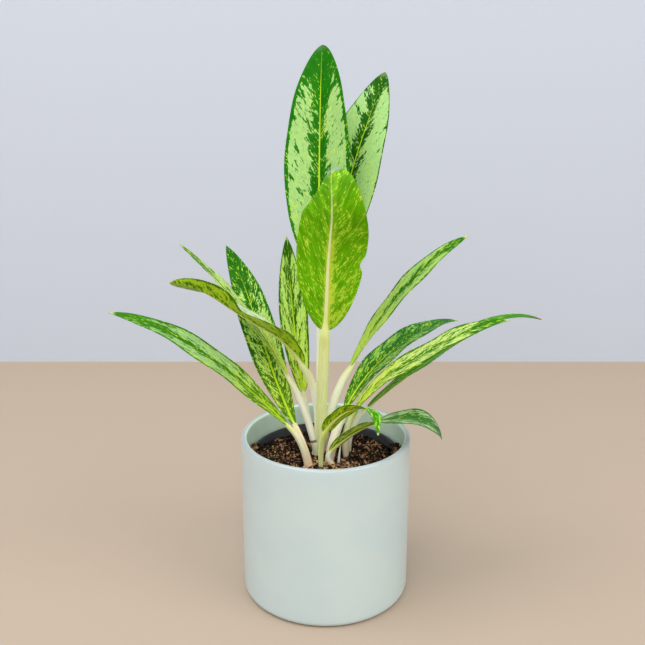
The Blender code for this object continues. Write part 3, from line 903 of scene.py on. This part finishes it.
# %% Leaf materials
ORDINARY = {
    "Dark": shade(50, 120, 8), "Pale": shade(170, 212, 108), "Lime": shade(206, 226, 44),
    "Rib": shade(184, 216, 40), "Under Dark": shade(102, 152, 38),
    "Under Pale": shade(178, 210, 98), "Under Rib": shade(204, 218, 140),
    "Tip": shade(176, 196, 120), "Pale Amount": 0.55, "Base Pale": 0.0, "Side Bias": 0.0,
    "Centre Streak": 0.3, "Streak Depth": 0.2, "Green Tip": 0.15, "Margin": 0.08, "Lime Base": 0.5,
    "Specks": 0.5, "Blotch Size": 0.8, "Stretch": 1.0, "Slope": 1.2, "Rib Length": 0.6,
    "Under Marks": 0.6, "Feather": 0.3,
}
LOOKS = {
    "leaf_tall_back": {
        "Dark": shade(28, 116, 0), "Pale": shade(160, 204, 118), "Tip": shade(70, 120, 60),
        "Pale Amount": 0.7, "Streak Depth": 0.19, "Green Tip": 0.22, "Margin": 0.06,
        "Lime Base": 0.1, "Specks": 0.6, "Blotch Size": 1.15, "Rib Length": 1.0,
    },
    "leaf_back_right": {
        "Dark": shade(26, 96, 0), "Pale": shade(168, 213, 130), "Tip": shade(110, 134, 80),
        "Pale Amount": 0.78, "Base Pale": 0.12, "Centre Streak": 0.25, "Green Tip": 0.1,
        "Margin": 0.02, "Lime Base": 0.4, "Specks": 0.7, "Blotch Size": 1.0, "Rib Length": 0.9,
    },
    # Underside greens partly its own, partly painted light shining through from behind.
    "leaf_front": {
        "Under Dark": shade(101, 174, 0), "Under Pale": shade(198, 218, 66),
        "Under Rib": shade(226, 230, 164), "Tip": shade(140, 158, 150), "Pale Amount": 0.14,
        "Base Pale": 0.12, "Side Bias": -0.05, "Streak Depth": -0.05, "Green Tip": 0.32,
        "Specks": 0.68, "Blotch Size": 0.6, "Stretch": 0.8, "Rib Length": 1.1, "Feather": 0.75,
    },
    "leaf_inner_left": {
        "Dark": shade(54, 112, 4), "Pale": shade(192, 232, 116), "Pale Amount": 0.6,
        "Streak Depth": 0.1, "Green Tip": 0.08, "Lime Base": 0.9, "Specks": 0.85,
        "Blotch Size": 0.45, "Slope": 3.4, "Rib Length": 0.8,
    },
    "leaf_left_thin": {
        "Dark": shade(80, 132, 20), "Pale": shade(190, 218, 134), "Under Dark": shade(88, 138, 26),
        "Under Pale": shade(206, 226, 104), "Pale Amount": 0.58, "Base Pale": 0.01,
        "Centre Streak": 0.1, "Margin": 0.0, "Lime Base": 1.0, "Specks": 0.95, "Blotch Size": 0.42,
        "Slope": 3.2, "Rib Length": 0.2, "Under Marks": 1.0, "Feather": 0.0,
    },
    # Upper side pale grey-green: its own greens and blotches under a painted silvery sheen.
    "leaf_left_olive": {
        "Dark": shade(150, 182, 124), "Pale": shade(200, 216, 186), "Under Dark": shade(72, 132, 0),
        "Under Pale": shade(182, 220, 42), "Tip": shade(150, 160, 60), "Pale Amount": 0.6,
        "Streak Depth": 0.05, "Green Tip": 0.0, "Blotch Size": 0.42, "Slope": 1.6,
        "Under Marks": 0.85, "Feather": 0.1,
    },
    "leaf_upper_right": {
        "Dark": shade(46, 118, 6), "Pale": shade(158, 198, 104), "Tip": shade(196, 210, 90),
        "Pale Amount": 0.74, "Base Pale": 0.06, "Green Tip": 0.14, "Lime Base": 0.8, "Specks": 0.85,
        "Blotch Size": 0.42, "Slope": 3.2, "Rib Length": 0.3,
    },
    "leaf_left_long": {
        "Dark": shade(38, 110, 8), "Pale": shade(178, 222, 116), "Tip": shade(60, 110, 50),
        "Pale Amount": 0.54, "Base Pale": -0.06, "Centre Streak": 0.18, "Green Tip": 0.24,
        "Lime Base": 0.9, "Specks": 0.75, "Blotch Size": 0.5, "Slope": 1.6, "Rib Length": 0.85,
    },
    "leaf_far_left": {
        "Dark": shade(56, 124, 10), "Pale": shade(152, 192, 120), "Pale Amount": 0.72,
        "Base Pale": -0.16, "Centre Streak": 0.2, "Green Tip": 0.26, "Lime Base": 1.0,
        "Specks": 0.65, "Blotch Size": 0.45, "Slope": 2.6, "Rib Length": 0.35,
    },
    "leaf_right_dark": {
        "Dark": shade(30, 114, 0), "Pale": shade(122, 184, 78), "Pale Amount": 0.5,
        "Base Pale": -0.09, "Lime Base": 0.3, "Specks": 0.8, "Blotch Size": 0.62, "Slope": 1.7,
    },
    "leaf_small_front": {
        "Dark": shade(58, 142, 0), "Pale": shade(160, 212, 84), "Under Dark": shade(90, 138, 0),
        "Under Pale": shade(182, 210, 40), "Tip": shade(214, 216, 170), "Pale Amount": 0.5,
        "Green Tip": 0.0, "Specks": 0.9, "Blotch Size": 0.3, "Slope": 1.6, "Under Marks": 0.95,
    },
    "leaf_small_right": {
        "Dark": shade(46, 106, 18), "Pale": shade(146, 184, 118), "Under Dark": shade(92, 146, 0),
        "Under Pale": shade(222, 240, 90), "Tip": shade(196, 210, 130), "Pale Amount": 0.58,
        "Green Tip": 0.05, "Blotch Size": 0.45, "Slope": 1.8, "Under Marks": 0.9,
    },
    "leaf_right_long": {
        "Dark": shade(52, 122, 0), "Pale": shade(194, 216, 126), "Pale Amount": 0.56,
        "Centre Streak": 0.2, "Streak Depth": 0.12, "Green Tip": 0.12, "Lime Base": 0.9,
        "Specks": 0.85, "Blotch Size": 0.34, "Slope": 3.0, "Rib Length": 0.3,
    },
    "leaf_far_right": {
        "Dark": shade(64, 136, 14), "Under Dark": shade(92, 142, 10), "Tip": shade(140, 104, 60),
        "Pale Amount": 0.25, "Slope": 3.0,
    },
}


ORDINARY_GLOSS = 0.08
GLOSS = {
    "leaf_right_dark": 0.2, "leaf_small_right": 0.25,
    "leaf_left_olive": 0.12, "leaf_small_front": 0.12,
}


def leaf_material(leaf):
    """The shared markings with one leaf's own values."""
    gloss = GLOSS.get(leaf.name, ORDINARY_GLOSS)
    material, n, shader = new_material(leaf.name, IOR=1.45, Specular_IOR_Level=gloss)
    marked = n.add("Group", node_tree=MARKINGS)
    for label, value in (ORDINARY | LOOKS[leaf.name]).items():
        n.feed(marked.inputs[label], value)
    n.feed(shader.inputs["Base Color"], marked.outputs["Color"])
    n.feed(shader.inputs["Roughness"], marked.outputs["Roughness"])
    n.feed(shader.inputs["Normal"], n.bump(marked.outputs["Height"], 0.25, 0.08 * MM))
    return material


# %% Make the blades
for number, leaf in enumerate(LEAVES):
    loops, marks = blade_surface(leaf, seed=number * 1.7)
    blade = tube(leaf.name + "_blade", loops, marks, sharp=60)
    dress(blade, leaf_material(leaf), "leaf_green", leaf.name)
print("blades:", len(LEAVES))

# %% [markdown]
# ## Stalks
#
# A stalk is a fleshy, nearly round leaf base. It is broad where it sheathes its shoot, narrows
# towards the blade, and is grooved on its upper side just before it. It doesn't end there: it runs
# on under the blade as the midrib and gets thinner towards the tip. Two pieces would need a joint
# that hardly shows, so one tube makes both. Past the collar its upper side is cut nearly flat and
# lies inside the blade.

# %% The stalk's surface
STALK_STATIONS, STALK_AROUND = 90, 28
STALK_SINK = 0.012
FOOT_TAPER, FOOT_LENGTH = 0.22, 0.012
KEEL_END, KEEL_START, KEEL_TIP = 0.88, 1.5 * MM, 0.42 * MM
KEEL_OF_COLLAR, KEEL_EASE = 0.6, 1.2
COLLAR_RAMP = 0.016
CHANNEL_LENGTH, CHANNEL_PAST, CHANNEL_DROP = 0.014, 0.004, 0.35
CUT_DEPTH, CUT_ROUND = 0.4 * MM, 0.03 * MM


def stalk_surface(leaf):
    """Rings of points along the leaf's line, from under the soil to near the tip.

    The radius goes evenly from foot to collar, then eases over to the keel's, which falls off as a
    power of what is left of the blade. Past the collar a ring's upper half is cut off nearly level.
    """
    places = np.linspace(-STALK_SINK, leaf.stalk + leaf.blade * KEEL_END, STALK_STATIONS)
    points, direction, face, side = leaf_line(leaf, np.maximum(places, 0))
    points = points + np.minimum(places, 0)[:, None] * direction
    foot, collar = leaf.stalk_radii
    past = np.clip((places - leaf.stalk) / (leaf.blade * KEEL_END), 0, 1)
    keel_start = min(KEEL_START, collar * KEEL_OF_COLLAR)
    keel = KEEL_TIP + (keel_start - KEEL_TIP) * (1 - past) ** KEEL_EASE
    round_part = np.interp(places, (0, leaf.stalk), (foot, collar))
    ramp = smooth(places, leaf.stalk - COLLAR_RAMP * 0.4, leaf.stalk + COLLAR_RAMP * 0.6)
    taper = 1 - FOOT_TAPER * np.exp(-np.maximum(places, 0) / FOOT_LENGTH)
    radius = ((round_part * (1 - ramp) + keel * ramp) * taper)[:, None]
    angle = np.linspace(0, math.tau, STALK_AROUND, endpoint=False)
    wide = radius * np.cos(angle)
    lean = smooth(places, leaf.stalk - CHANNEL_LENGTH, leaf.stalk + CHANNEL_PAST)[:, None]
    high = radius * np.sin(angle) - lean * radius * CHANNEL_DROP
    cut = radius * (1 - lean) - lean * (CUT_DEPTH - CUT_ROUND * np.sin(angle))
    high = np.minimum(high, cut)
    rings = points[:, None] + wide[..., None] * side[:, None] + high[..., None] * face[:, None]
    share = np.broadcast_to((places / leaf.stalk)[:, None], wide.shape)
    turn = np.broadcast_to(angle[None, :] / math.tau, wide.shape)
    mark = np.stack([turn, share, places[:, None] * 100 + 0 * wide], axis=-1)
    return rings, {"stalk_share": mark}


# %% [markdown]
# ## Cream flesh
#
# Stalks and shoots are pale and juicy: cream with a breath of pink low down, greener towards the
# blade, with fine lengthwise fibres under a smooth skin. Some have a thin brown ring where an old
# sheath came off. The fibres are noise on a circle, drawn out along the stalk, so they close up
# round it without a seam. One group makes the flesh for all of them.

# %% Flesh as a node group
FIBRE_CIRCLE, FIBRE_LENGTH = 2.2, 0.35
SKIN_CLOUDS, CLOUD_SHIFT = 60.0, 0.35
RING_HALF, RING_FADE, RING_DEPTH = 0.010, 0.022, 0.85
NO_RING = -1.0


def flesh_group():
    """Colour and relief of stalks: from foot to collar, then on as the midrib."""
    inputs = {label: ("Color", (1, 1, 1, 1)) for label in ("Foot", "Middle", "Collar", "Rib")}
    inputs["Ring Place"] = ("Float", NO_RING)
    n, given, out = new_group("stalk flesh", inputs, {"Color": "Color", "Height": "Float"})
    turn, share, cm_along = n.mark("stalk_share")
    turned_by = n.times(turn, math.tau)
    circle = [n.times(n.maths(wave, turned_by), FIBRE_CIRCLE) for wave in ("SINE", "COSINE")]
    fibre = n.noise(n.join(*circle, n.times(cm_along, FIBRE_LENGTH)), 2.5, 3.0, 0.6)
    cloud = n.noise(n.place(), SKIN_CLOUDS, 2.0)
    place = n.plus(share, n.times(n.minus(cloud, 0.5), CLOUD_SHIFT))
    skin = n.mix(n.between(place, 0.0, 0.35), given["Foot"], given["Middle"])
    skin = n.mix(n.between(place, 0.6, 1.0), skin, given["Collar"])
    skin = n.mix(n.between(share, 1.0, 1.25), skin, given["Rib"])
    from_ring = n.minus(n.times_plus(cloud, 0.02, share), given["Ring Place"])
    ring = n.between(n.maths("ABSOLUTE", from_ring), RING_HALF, RING_FADE, RING_DEPTH, 0.0)
    skin = n.mix(ring, skin, shade(92, 66, 36))
    n.feed(out["Color"], n.tint(skin, n.between(fibre, 0.3, 0.75, 0.90, 1.04)))
    n.feed(out["Height"], fibre)
    return n.tree


FLESH = flesh_group()
CREAM = {
    "Foot": shade(238, 222, 190), "Middle": shade(250, 246, 228), "Collar": shade(236, 236, 180),
    "Rib": shade(214, 220, 120), "Ring Place": NO_RING,
}
FLESH_OF = {
    "leaf_front": {
        "Foot": shade(238, 238, 190), "Middle": shade(236, 240, 172),
        "Collar": shade(228, 234, 150), "Rib": shade(232, 234, 166),
    },
    "leaf_small_front": {
        "Foot": shade(244, 244, 182), "Middle": shade(240, 244, 160),
        "Collar": shade(222, 232, 110),
    },
    "leaf_left_olive": {"Foot": shade(226, 230, 190), "Ring Place": 0.13},
    "leaf_left_thin": {"Foot": shade(226, 230, 190), "Ring Place": 0.15},
    "leaf_left_long": {
        "Foot": shade(240, 208, 170), "Middle": shade(240, 222, 184),
        "Collar": shade(232, 216, 160),
    },
    "leaf_far_left": {
        "Foot": shade(240, 222, 186), "Middle": shade(240, 232, 194),
        "Collar": shade(222, 228, 130),
    },
    "leaf_right_dark": {"Foot": shade(228, 204, 178), "Middle": shade(242, 230, 206)},
    "leaf_right_long": {"Middle": shade(240, 238, 190), "Collar": shade(176, 196, 76)},
}


def flesh_material(name, colours):
    """Smooth flesh that light enters a little way."""
    material, n, shader = new_material(
        name, Roughness=0.42, IOR=1.42, Subsurface_Weight=0.12, Subsurface_Scale=2 * MM
    )
    flesh = n.add("Group", node_tree=FLESH)
    for label, value in (CREAM | colours).items():
        n.feed(flesh.inputs[label], value)
    n.feed(shader.inputs["Base Color"], flesh.outputs["Color"])
    n.feed(shader.inputs["Normal"], n.bump(flesh.outputs["Height"], 0.3, 0.15 * MM))
    return material


# %% Make the stalks
for leaf in LEAVES:
    rings, marks = stalk_surface(leaf)
    stalk = tube(leaf.name.replace("leaf_", "stalk_"), rings, marks, sharp=70)
    colours = FLESH_OF.get(leaf.name, {})
    dress(stalk, flesh_material(stalk.name, colours), "stem_cream", leaf.shoot)
print("stalks:", len(LEAVES))

# %% [markdown]
# ## Shoots
#
# Each shoot is a short upright stem that the stalks clasp. A turned shape would do for it, but it
# stands away from the axis, so it is a tube: a smooth column with one shallow swelling, where an
# old leaf left its ring. It ends at the soil's surface, because only the stalks go on from there.

# %% The shoots' surfaces
STEM_BOTTOM, STEM_SINK = 0.070, 9.5 * MM
STEM_ROWS, STEM_AROUND = 60, 40
STEM_SLIMNESS, STEM_DOME = 0.72, 12
STEM_RING_AT, STEM_RING_SPREAD, STEM_RING_SWELL = 0.1085, 1.2 * MM, 0.04


def flesh_marks(angle, share, cm_along):
    """Turn, share and centimetres for each point of a tube, as the flesh group reads them."""
    turn = np.broadcast_to(angle / math.tau, (len(share), len(angle)))
    return {"stalk_share": np.stack([turn, share + 0 * turn, cm_along + 0 * turn], axis=-1)}


def stem_rings(centre, radius, top):
    """A column with a domed top: the radius falls to nothing as the root of (1 - share^12)."""
    share = np.linspace(0, 1, STEM_ROWS)[:, None]
    height = STEM_BOTTOM + share * (top - STEM_SINK - STEM_BOTTOM)
    dome = np.sqrt(np.clip(1 - share**STEM_DOME, 0.0004, 1))
    swell = 1 + STEM_RING_SWELL * np.exp(-(((height - STEM_RING_AT) / STEM_RING_SPREAD) ** 2))
    angle = np.linspace(0, math.tau, STEM_AROUND, endpoint=False)
    size = STEM_SLIMNESS * radius * dome * swell
    x, y = centre[0] + size * np.cos(angle), centre[1] + size * np.sin(angle)
    rings = np.stack([x, y, height + 0 * angle], axis=-1)
    return rings, flesh_marks(angle, 0.3 * share, height * 100)


for name, (centre, radius, top) in SHOOTS.items():
    rings, marks = stem_rings(centre, radius, top)
    stem = tube(name.replace("stems_", "shoot_"), rings, marks)
    dress(stem, flesh_material(stem.name, {}), "stem_cream", name)
print("shoots:", len(SHOOTS))

# %% [markdown]
# ## A young leaf
#
# One new leaf is still rolled up, a thin pale point that leans a little beside the front stalks. It
# is a tube along a bowed line, and its radius falls as a power of what is left of its length.

# %% A young leaf, still rolled
YOUNG_FOOT, YOUNG_TIP = np.array([9.5, -10.0, 103.0]) * MM, np.array([11.2, -9.0, 119.0]) * MM
YOUNG_BOW, YOUNG_RADIUS, YOUNG_POINT = np.array([-1.2, 0, 0]) * MM, 1.15 * MM, 0.55
YOUNG_ROWS, YOUNG_AROUND = 28, 16


def young_leaf():
    """Rings round the line foot * (1 - share) + tip * share + bow * share * (1 - share)."""
    share = np.linspace(0, 1, YOUNG_ROWS)[:, None]
    middle = YOUNG_FOOT * (1 - share) + YOUNG_TIP * share + YOUNG_BOW * share * (1 - share)
    radius = YOUNG_RADIUS * np.maximum(1 - share, 0.002) ** YOUNG_POINT
    angle = np.linspace(0, math.tau, YOUNG_AROUND, endpoint=False)
    ring = np.stack([np.cos(angle), np.sin(angle), 0 * angle], axis=-1)
    return middle[:, None] + radius[..., None] * ring, flesh_marks(angle, share, share)


young = tube("young_leaf", *young_leaf())
dress(young, flesh_material("young leaf", {"Collar": shade(244, 236, 200)}), "stem_cream")
print("young leaf faces:", len(young.data.polygons))

# %% [markdown]
# ## Soil
#
# Potting soil is a heap of crumbs. It could be sculpted, or pushed up by a texture on a modifier. A
# height worked out at each point is as quick, and the loose bits can ask it where to lie. The
# crumbs are rounded lumps round scattered centres, so the height depends on how far the nearest
# centre is. A few slower waves make it uneven, and it is piled up a little at three places.

# %% The soil's height
SOIL_LUMPS, SOIL_LUMP_SIZE, SOIL_LUMP_HEIGHT = 900, 3.2 * MM, 1.4 * MM
SOIL_WAVES, WAVE_SIZES, WAVE_STEEPNESS = 24, (5, 26), 0.010
LUMP_SINK, FADE_OUT_AT, FADE_OUT_OVER = 0.6, 1.02, 0.05
# Where a pile is, how high it is and how far it spreads, in millimetres
PILES = (((-51, -8), 5.2, 22), ((50, -8), 4.0, 20), ((8, -46), 2.2, 22))

rng = np.random.default_rng(11)
soil_radius = nursery_radius(SOIL_EDGE) - NURSERY_WALL - GAP * 2
spots = rng.uniform(-soil_radius, soil_radius, (SOIL_LUMPS, 2))
wave_turns = rng.uniform(0, math.tau, SOIL_WAVES)
wave_sizes = rng.uniform(*WAVE_SIZES, SOIL_WAVES) * MM
wave_starts = rng.uniform(0, math.tau, SOIL_WAVES)


def soil_height(x, y):
    """Crown, plus piles, plus slow waves, plus a rounded lump about the nearest centre.

    The lumps and waves fade out just inside the pot's wall.
    """
    inside = np.hypot(x, y) / soil_radius
    height = SOIL_EDGE + (SOIL_CROWN - SOIL_EDGE) * (1 - inside**2)
    for (pile_x, pile_y), pile, spread in PILES:
        away = (x - pile_x * MM) ** 2 + (y - pile_y * MM) ** 2
        height = height + pile * MM * np.exp(-away / (spread * MM) ** 2)
    phase = x[..., None] * np.cos(wave_turns) + y[..., None] * np.sin(wave_turns)
    waves = wave_sizes * np.sin(math.tau * phase / wave_sizes + wave_starts)
    slow = waves.sum(axis=-1) * WAVE_STEEPNESS
    away = (x[..., None] - spots[:, 0]) ** 2 + (y[..., None] - spots[:, 1]) ** 2
    nearest = np.sqrt(away.min(axis=-1))
    lump = SOIL_LUMP_HEIGHT * (1 - np.clip(nearest / SOIL_LUMP_SIZE, 0, 1) ** 2)
    uneven = slow + lump - SOIL_LUMP_HEIGHT * LUMP_SINK
    return height + uneven * smooth(FADE_OUT_AT - inside, 0, FADE_OUT_OVER)


# %% The heap of soil
SOIL_RINGS, SOIL_AROUND = 90, 260
TOP_HOLE, BASE_HOLE = 0.0004, 0.02
SOIL_CRUMBS, SOIL_PATCHES = 420.0, 90.0


def soil_mesh():
    """A polar grid over the soil, closed by a tapered side and a flat bottom."""
    bottom = POT_FLOOR + GAP + NURSERY_WALL + GAP
    inside = np.sqrt(np.linspace(1.0, TOP_HOLE, SOIL_RINGS))[:, None]
    angle = np.linspace(0, math.tau, SOIL_AROUND, endpoint=False)[None, :]
    x, y = soil_radius * inside * np.cos(angle), soil_radius * inside * np.sin(angle)
    top = np.stack([x, y, soil_height(x, y)], axis=-1)
    low = np.array([[BASE_HOLE], [1.0]]) * (nursery_radius(bottom) - NURSERY_WALL - GAP * 2)
    x, y = low * np.cos(angle), low * np.sin(angle)
    base = np.stack([x, y, np.full_like(x, bottom)], axis=-1)
    return tube("soil_heap", np.concatenate([base, top]))


def soil_material():
    """Dark moist peat with lighter dry crumbs."""
    material, n, shader = new_material("potting soil", Roughness=0.95, Specular_IOR_Level=0.1)
    place = n.place()
    crumb = n.noise(place, SOIL_CRUMBS, 5.0, 0.7)
    patch = n.noise(place, SOIL_PATCHES, 3.0)
    colour = n.mix(n.between(crumb, 0.38, 0.72), shade(13, 8, 7), shade(66, 48, 36))
    colour = n.mix(n.between(patch, 0.60, 0.78, 0.0, 0.5), colour, shade(112, 84, 62))
    n.feed(shader.inputs["Base Color"], colour)
    n.feed(shader.inputs["Normal"], n.bump(crumb, 0.9, 0.8 * MM))
    return material


heap = soil_mesh()
dress(heap, soil_material(), "potting_soil", "soil")
print("soil faces:", len(heap.data.polygons))

# %% [markdown]
# ## Bits in the soil
#
# Bark chips, peat crumbs, coir fibres, a few dry sheaths and some pale grains lie on the soil. The
# chips at the front are lighter, partly in their own tone and partly as painted light on soil that
# lies in the shade of the stalks. Some crumbs were spilt on the nursery pot's rim.
# Geometry nodes or a particle system could scatter them, but then they would have to be made into
# real meshes. So each kind is one small shape of a few faces, repeated at random places with random
# turns and sizes, and joined into one piece.

# %% Scatter small shapes
TURN_WEIGHTS = (1, 0.5, 0.5, 1)
ROUGHNESS_OF_SHAPE = (0.75, 1.25)
SPILT_LIFT = 0.3 * MM


@dataclass
class Bits:
    """One kind of loose bit: how many, which shape, and ranges of length, width and height in mm.

    lift raises them, in mm. dark and light are their tones. ring is the part of the soil's radius
    that they lie in, and sweep the angles in degrees.
    """

    name: str
    count: int
    shape: np.ndarray
    sizes: tuple
    lift: float
    dark: tuple
    light: tuple
    ring: tuple = (0.0, 0.96)
    sweep: tuple = (0.0, 360.0)


def turns(count):
    """Random turns: unit quaternions made into matrices."""
    w, x, y, z = rng.normal(size=(4, count)) * np.array(TURN_WEIGHTS)[:, None]
    size = np.sqrt(w * w + x * x + y * y + z * z)
    w, x, y, z = w / size, x / size, y / size, z / size
    rows = [
        [1 - 2 * (y * y + z * z), 2 * (x * y - w * z), 2 * (x * z + w * y)],
        [2 * (x * y + w * z), 1 - 2 * (x * x + z * z), 2 * (y * z - w * x)],
        [2 * (x * z - w * y), 2 * (y * z + w * x), 1 - 2 * (x * x + y * y)],
    ]
    return np.moveaxis(np.array(rows), -1, 0)


def scatter(kind):
    """Lay copies of a ring shape over the soil: scaled, roughened, turned, then moved."""
    rings, around = kind.shape.shape[:2]
    count, points = kind.count, rings * around
    low, high = np.array(kind.sizes).T * MM
    scale = rng.uniform(low, high, (count, 3))[:, None]
    rough = rng.uniform(*ROUGHNESS_OF_SHAPE, (count, points, 1))
    bits = kind.shape.reshape(1, -1, 3) * scale * rough
    bits = np.einsum("nij,nkj->nki", turns(count), bits)
    nearest, furthest = kind.ring
    reach = soil_radius * np.sqrt(rng.uniform(nearest**2, furthest**2, count))
    angle = np.radians(rng.uniform(*kind.sweep, count))
    x, y = reach * np.cos(angle), reach * np.sin(angle)
    z = soil_height(x, y) + kind.lift * MM
    z = np.where(reach > soil_radius, NURSERY_TOP + SPILT_LIFT, z)
    bits = bits + np.stack([x, y, z], axis=-1)[:, None]
    one = cells(rings, around, wrap=True)
    one += [list(range(around))[::-1], list(range(points - around, points))]
    faces = [[corner + start for corner in face]
             for start in range(0, count * points, points) for face in one]
    luck = np.repeat(rng.uniform(0, 1, (count, 1, 3)), points, axis=1)
    return new_mesh(kind.name, bits, faces, {"luck": luck}, sharp=45)


def ring_shape(heights, widths, around, bend=0.0):
    """A unit shape along X: rings at heights with their widths, bowed by bend * along^2."""
    angle = np.linspace(0, math.tau, around, endpoint=False)
    along, wide = np.array(heights)[:, None], np.array(widths)[:, None]
    y, z = wide * np.cos(angle) + bend * along**2, wide * np.sin(angle)
    return np.stack([along + 0 * angle, y, z], axis=-1)


# %% [markdown]
# ### The tone of a bit
#
# In a real heap hardly two crumbs have the same tone. So each bit carries a random number of its
# own, its luck, and few bits are lucky enough to be light. A slow noise makes whole patches moister
# or drier. Towards the viewer the bits are painted lighter, as light on the soil at the front.

# %% Material of the bits
GRAIN, PATCHES = 700.0, 75.0
FRONT_LIGHT_FULL_Y, FRONT_LIGHT_STARTS_Y = -18 * MM, 6 * MM


def bit_material(name, dark, light):
    """Small bits whose tone differs from one to the next."""
    material, n, shader = new_material(name, Roughness=0.9, Specular_IOR_Level=0.1)
    luck = n.mark("luck")[0]
    place = n.place()
    grain = n.noise(place, GRAIN, 3.0, 0.6)
    share = n.times_plus(n.maths("POWER", luck, 3.0), 1.1, n.times(grain, 0.32))
    share = n.times(share, n.between(n.noise(place, PATCHES, 3.0), 0.38, 0.62, 0.3, 1.6))
    # Painted light: bits towards the viewer are lighter, as light on the soil at the front.
    dry = n.between(n.parts(place)[1], FRONT_LIGHT_FULL_Y, FRONT_LIGHT_STARTS_Y, 0.3, 0.0)
    share = n.times_plus(dry, n.plus(luck, 0.3), share)
    n.feed(shader.inputs["Base Color"], n.mix(n.between(share, 0.12, 1.0), dark, light))
    n.feed(shader.inputs["Normal"], n.bump(grain, 0.5, 0.3 * MM))
    return material


# %% Lay the bits
chip = ring_shape((-0.5, -0.35, 0.3, 0.5), (0.25, 0.5, 0.45, 0.2), 6)
crumb = ring_shape((-0.5, -0.3, 0.2, 0.5), (0.2, 0.48, 0.5, 0.15), 6)
fibre = ring_shape(np.linspace(-0.5, 0.5, 7), np.full(7, 0.5), 4, bend=3.0)
spilt_sizes = ((1.0, 3.0), (1.0, 2.6), (0.8, 2.2))
spilt_tones = (shade(22, 14, 12), shade(176, 132, 98))
BITS = (
    Bits("bark_chips", 210, chip, ((1.8, 6.0), (1.2, 3.2), (0.5, 1.7)), 0.4,
         shade(12, 8, 9), shade(200, 146, 108)),
    Bits("peat_crumbs", 2000, crumb, ((0.5, 2.2), (0.5, 1.9), (0.5, 1.7)), 0.3,
         shade(7, 5, 5), shade(172, 130, 94)),
    Bits("dry_sheaths", 26, chip, ((2.0, 5.0), (1.4, 2.6), (0.3, 0.8)), 1.0,
         shade(96, 66, 34), shade(206, 178, 118), (0.12, 0.5), (225, 300)),
    # Front chips: lighter tones, partly their own, partly painted light on soil in the stalks'
    # shade.
    Bits("bark_front", 110, chip, ((1.2, 4.0), (1.0, 2.4), (0.5, 1.4)), 1.0,
         shade(40, 28, 24), shade(206, 164, 128), (0.3, 0.95), (285, 352)),
    Bits("peat_spilt_left", 420, crumb, spilt_sizes, 0.3, *spilt_tones, (0.97, 1.10), (166, 236)),
    Bits("peat_spilt_right", 420, crumb, spilt_sizes, 0.3, *spilt_tones, (0.97, 1.10), (322, 374)),
    Bits("coir_fibres", 150, fibre, ((2.0, 6.0), (0.2, 0.36), (0.2, 0.36)), 0.9,
         shade(50, 34, 24), shade(178, 140, 100)),
    Bits("pale_grains", 34, crumb, ((0.8, 1.7), (0.8, 1.5), (0.7, 1.2)), 0.7,
         shade(130, 126, 40), shade(226, 220, 120)),
)
for kind in BITS:
    tones = bit_material(kind.name.replace("_", " "), kind.dark, kind.light)
    dress(scatter(kind), tones, "potting_soil")
print("bits in the soil:", sum(kind.count for kind in BITS))
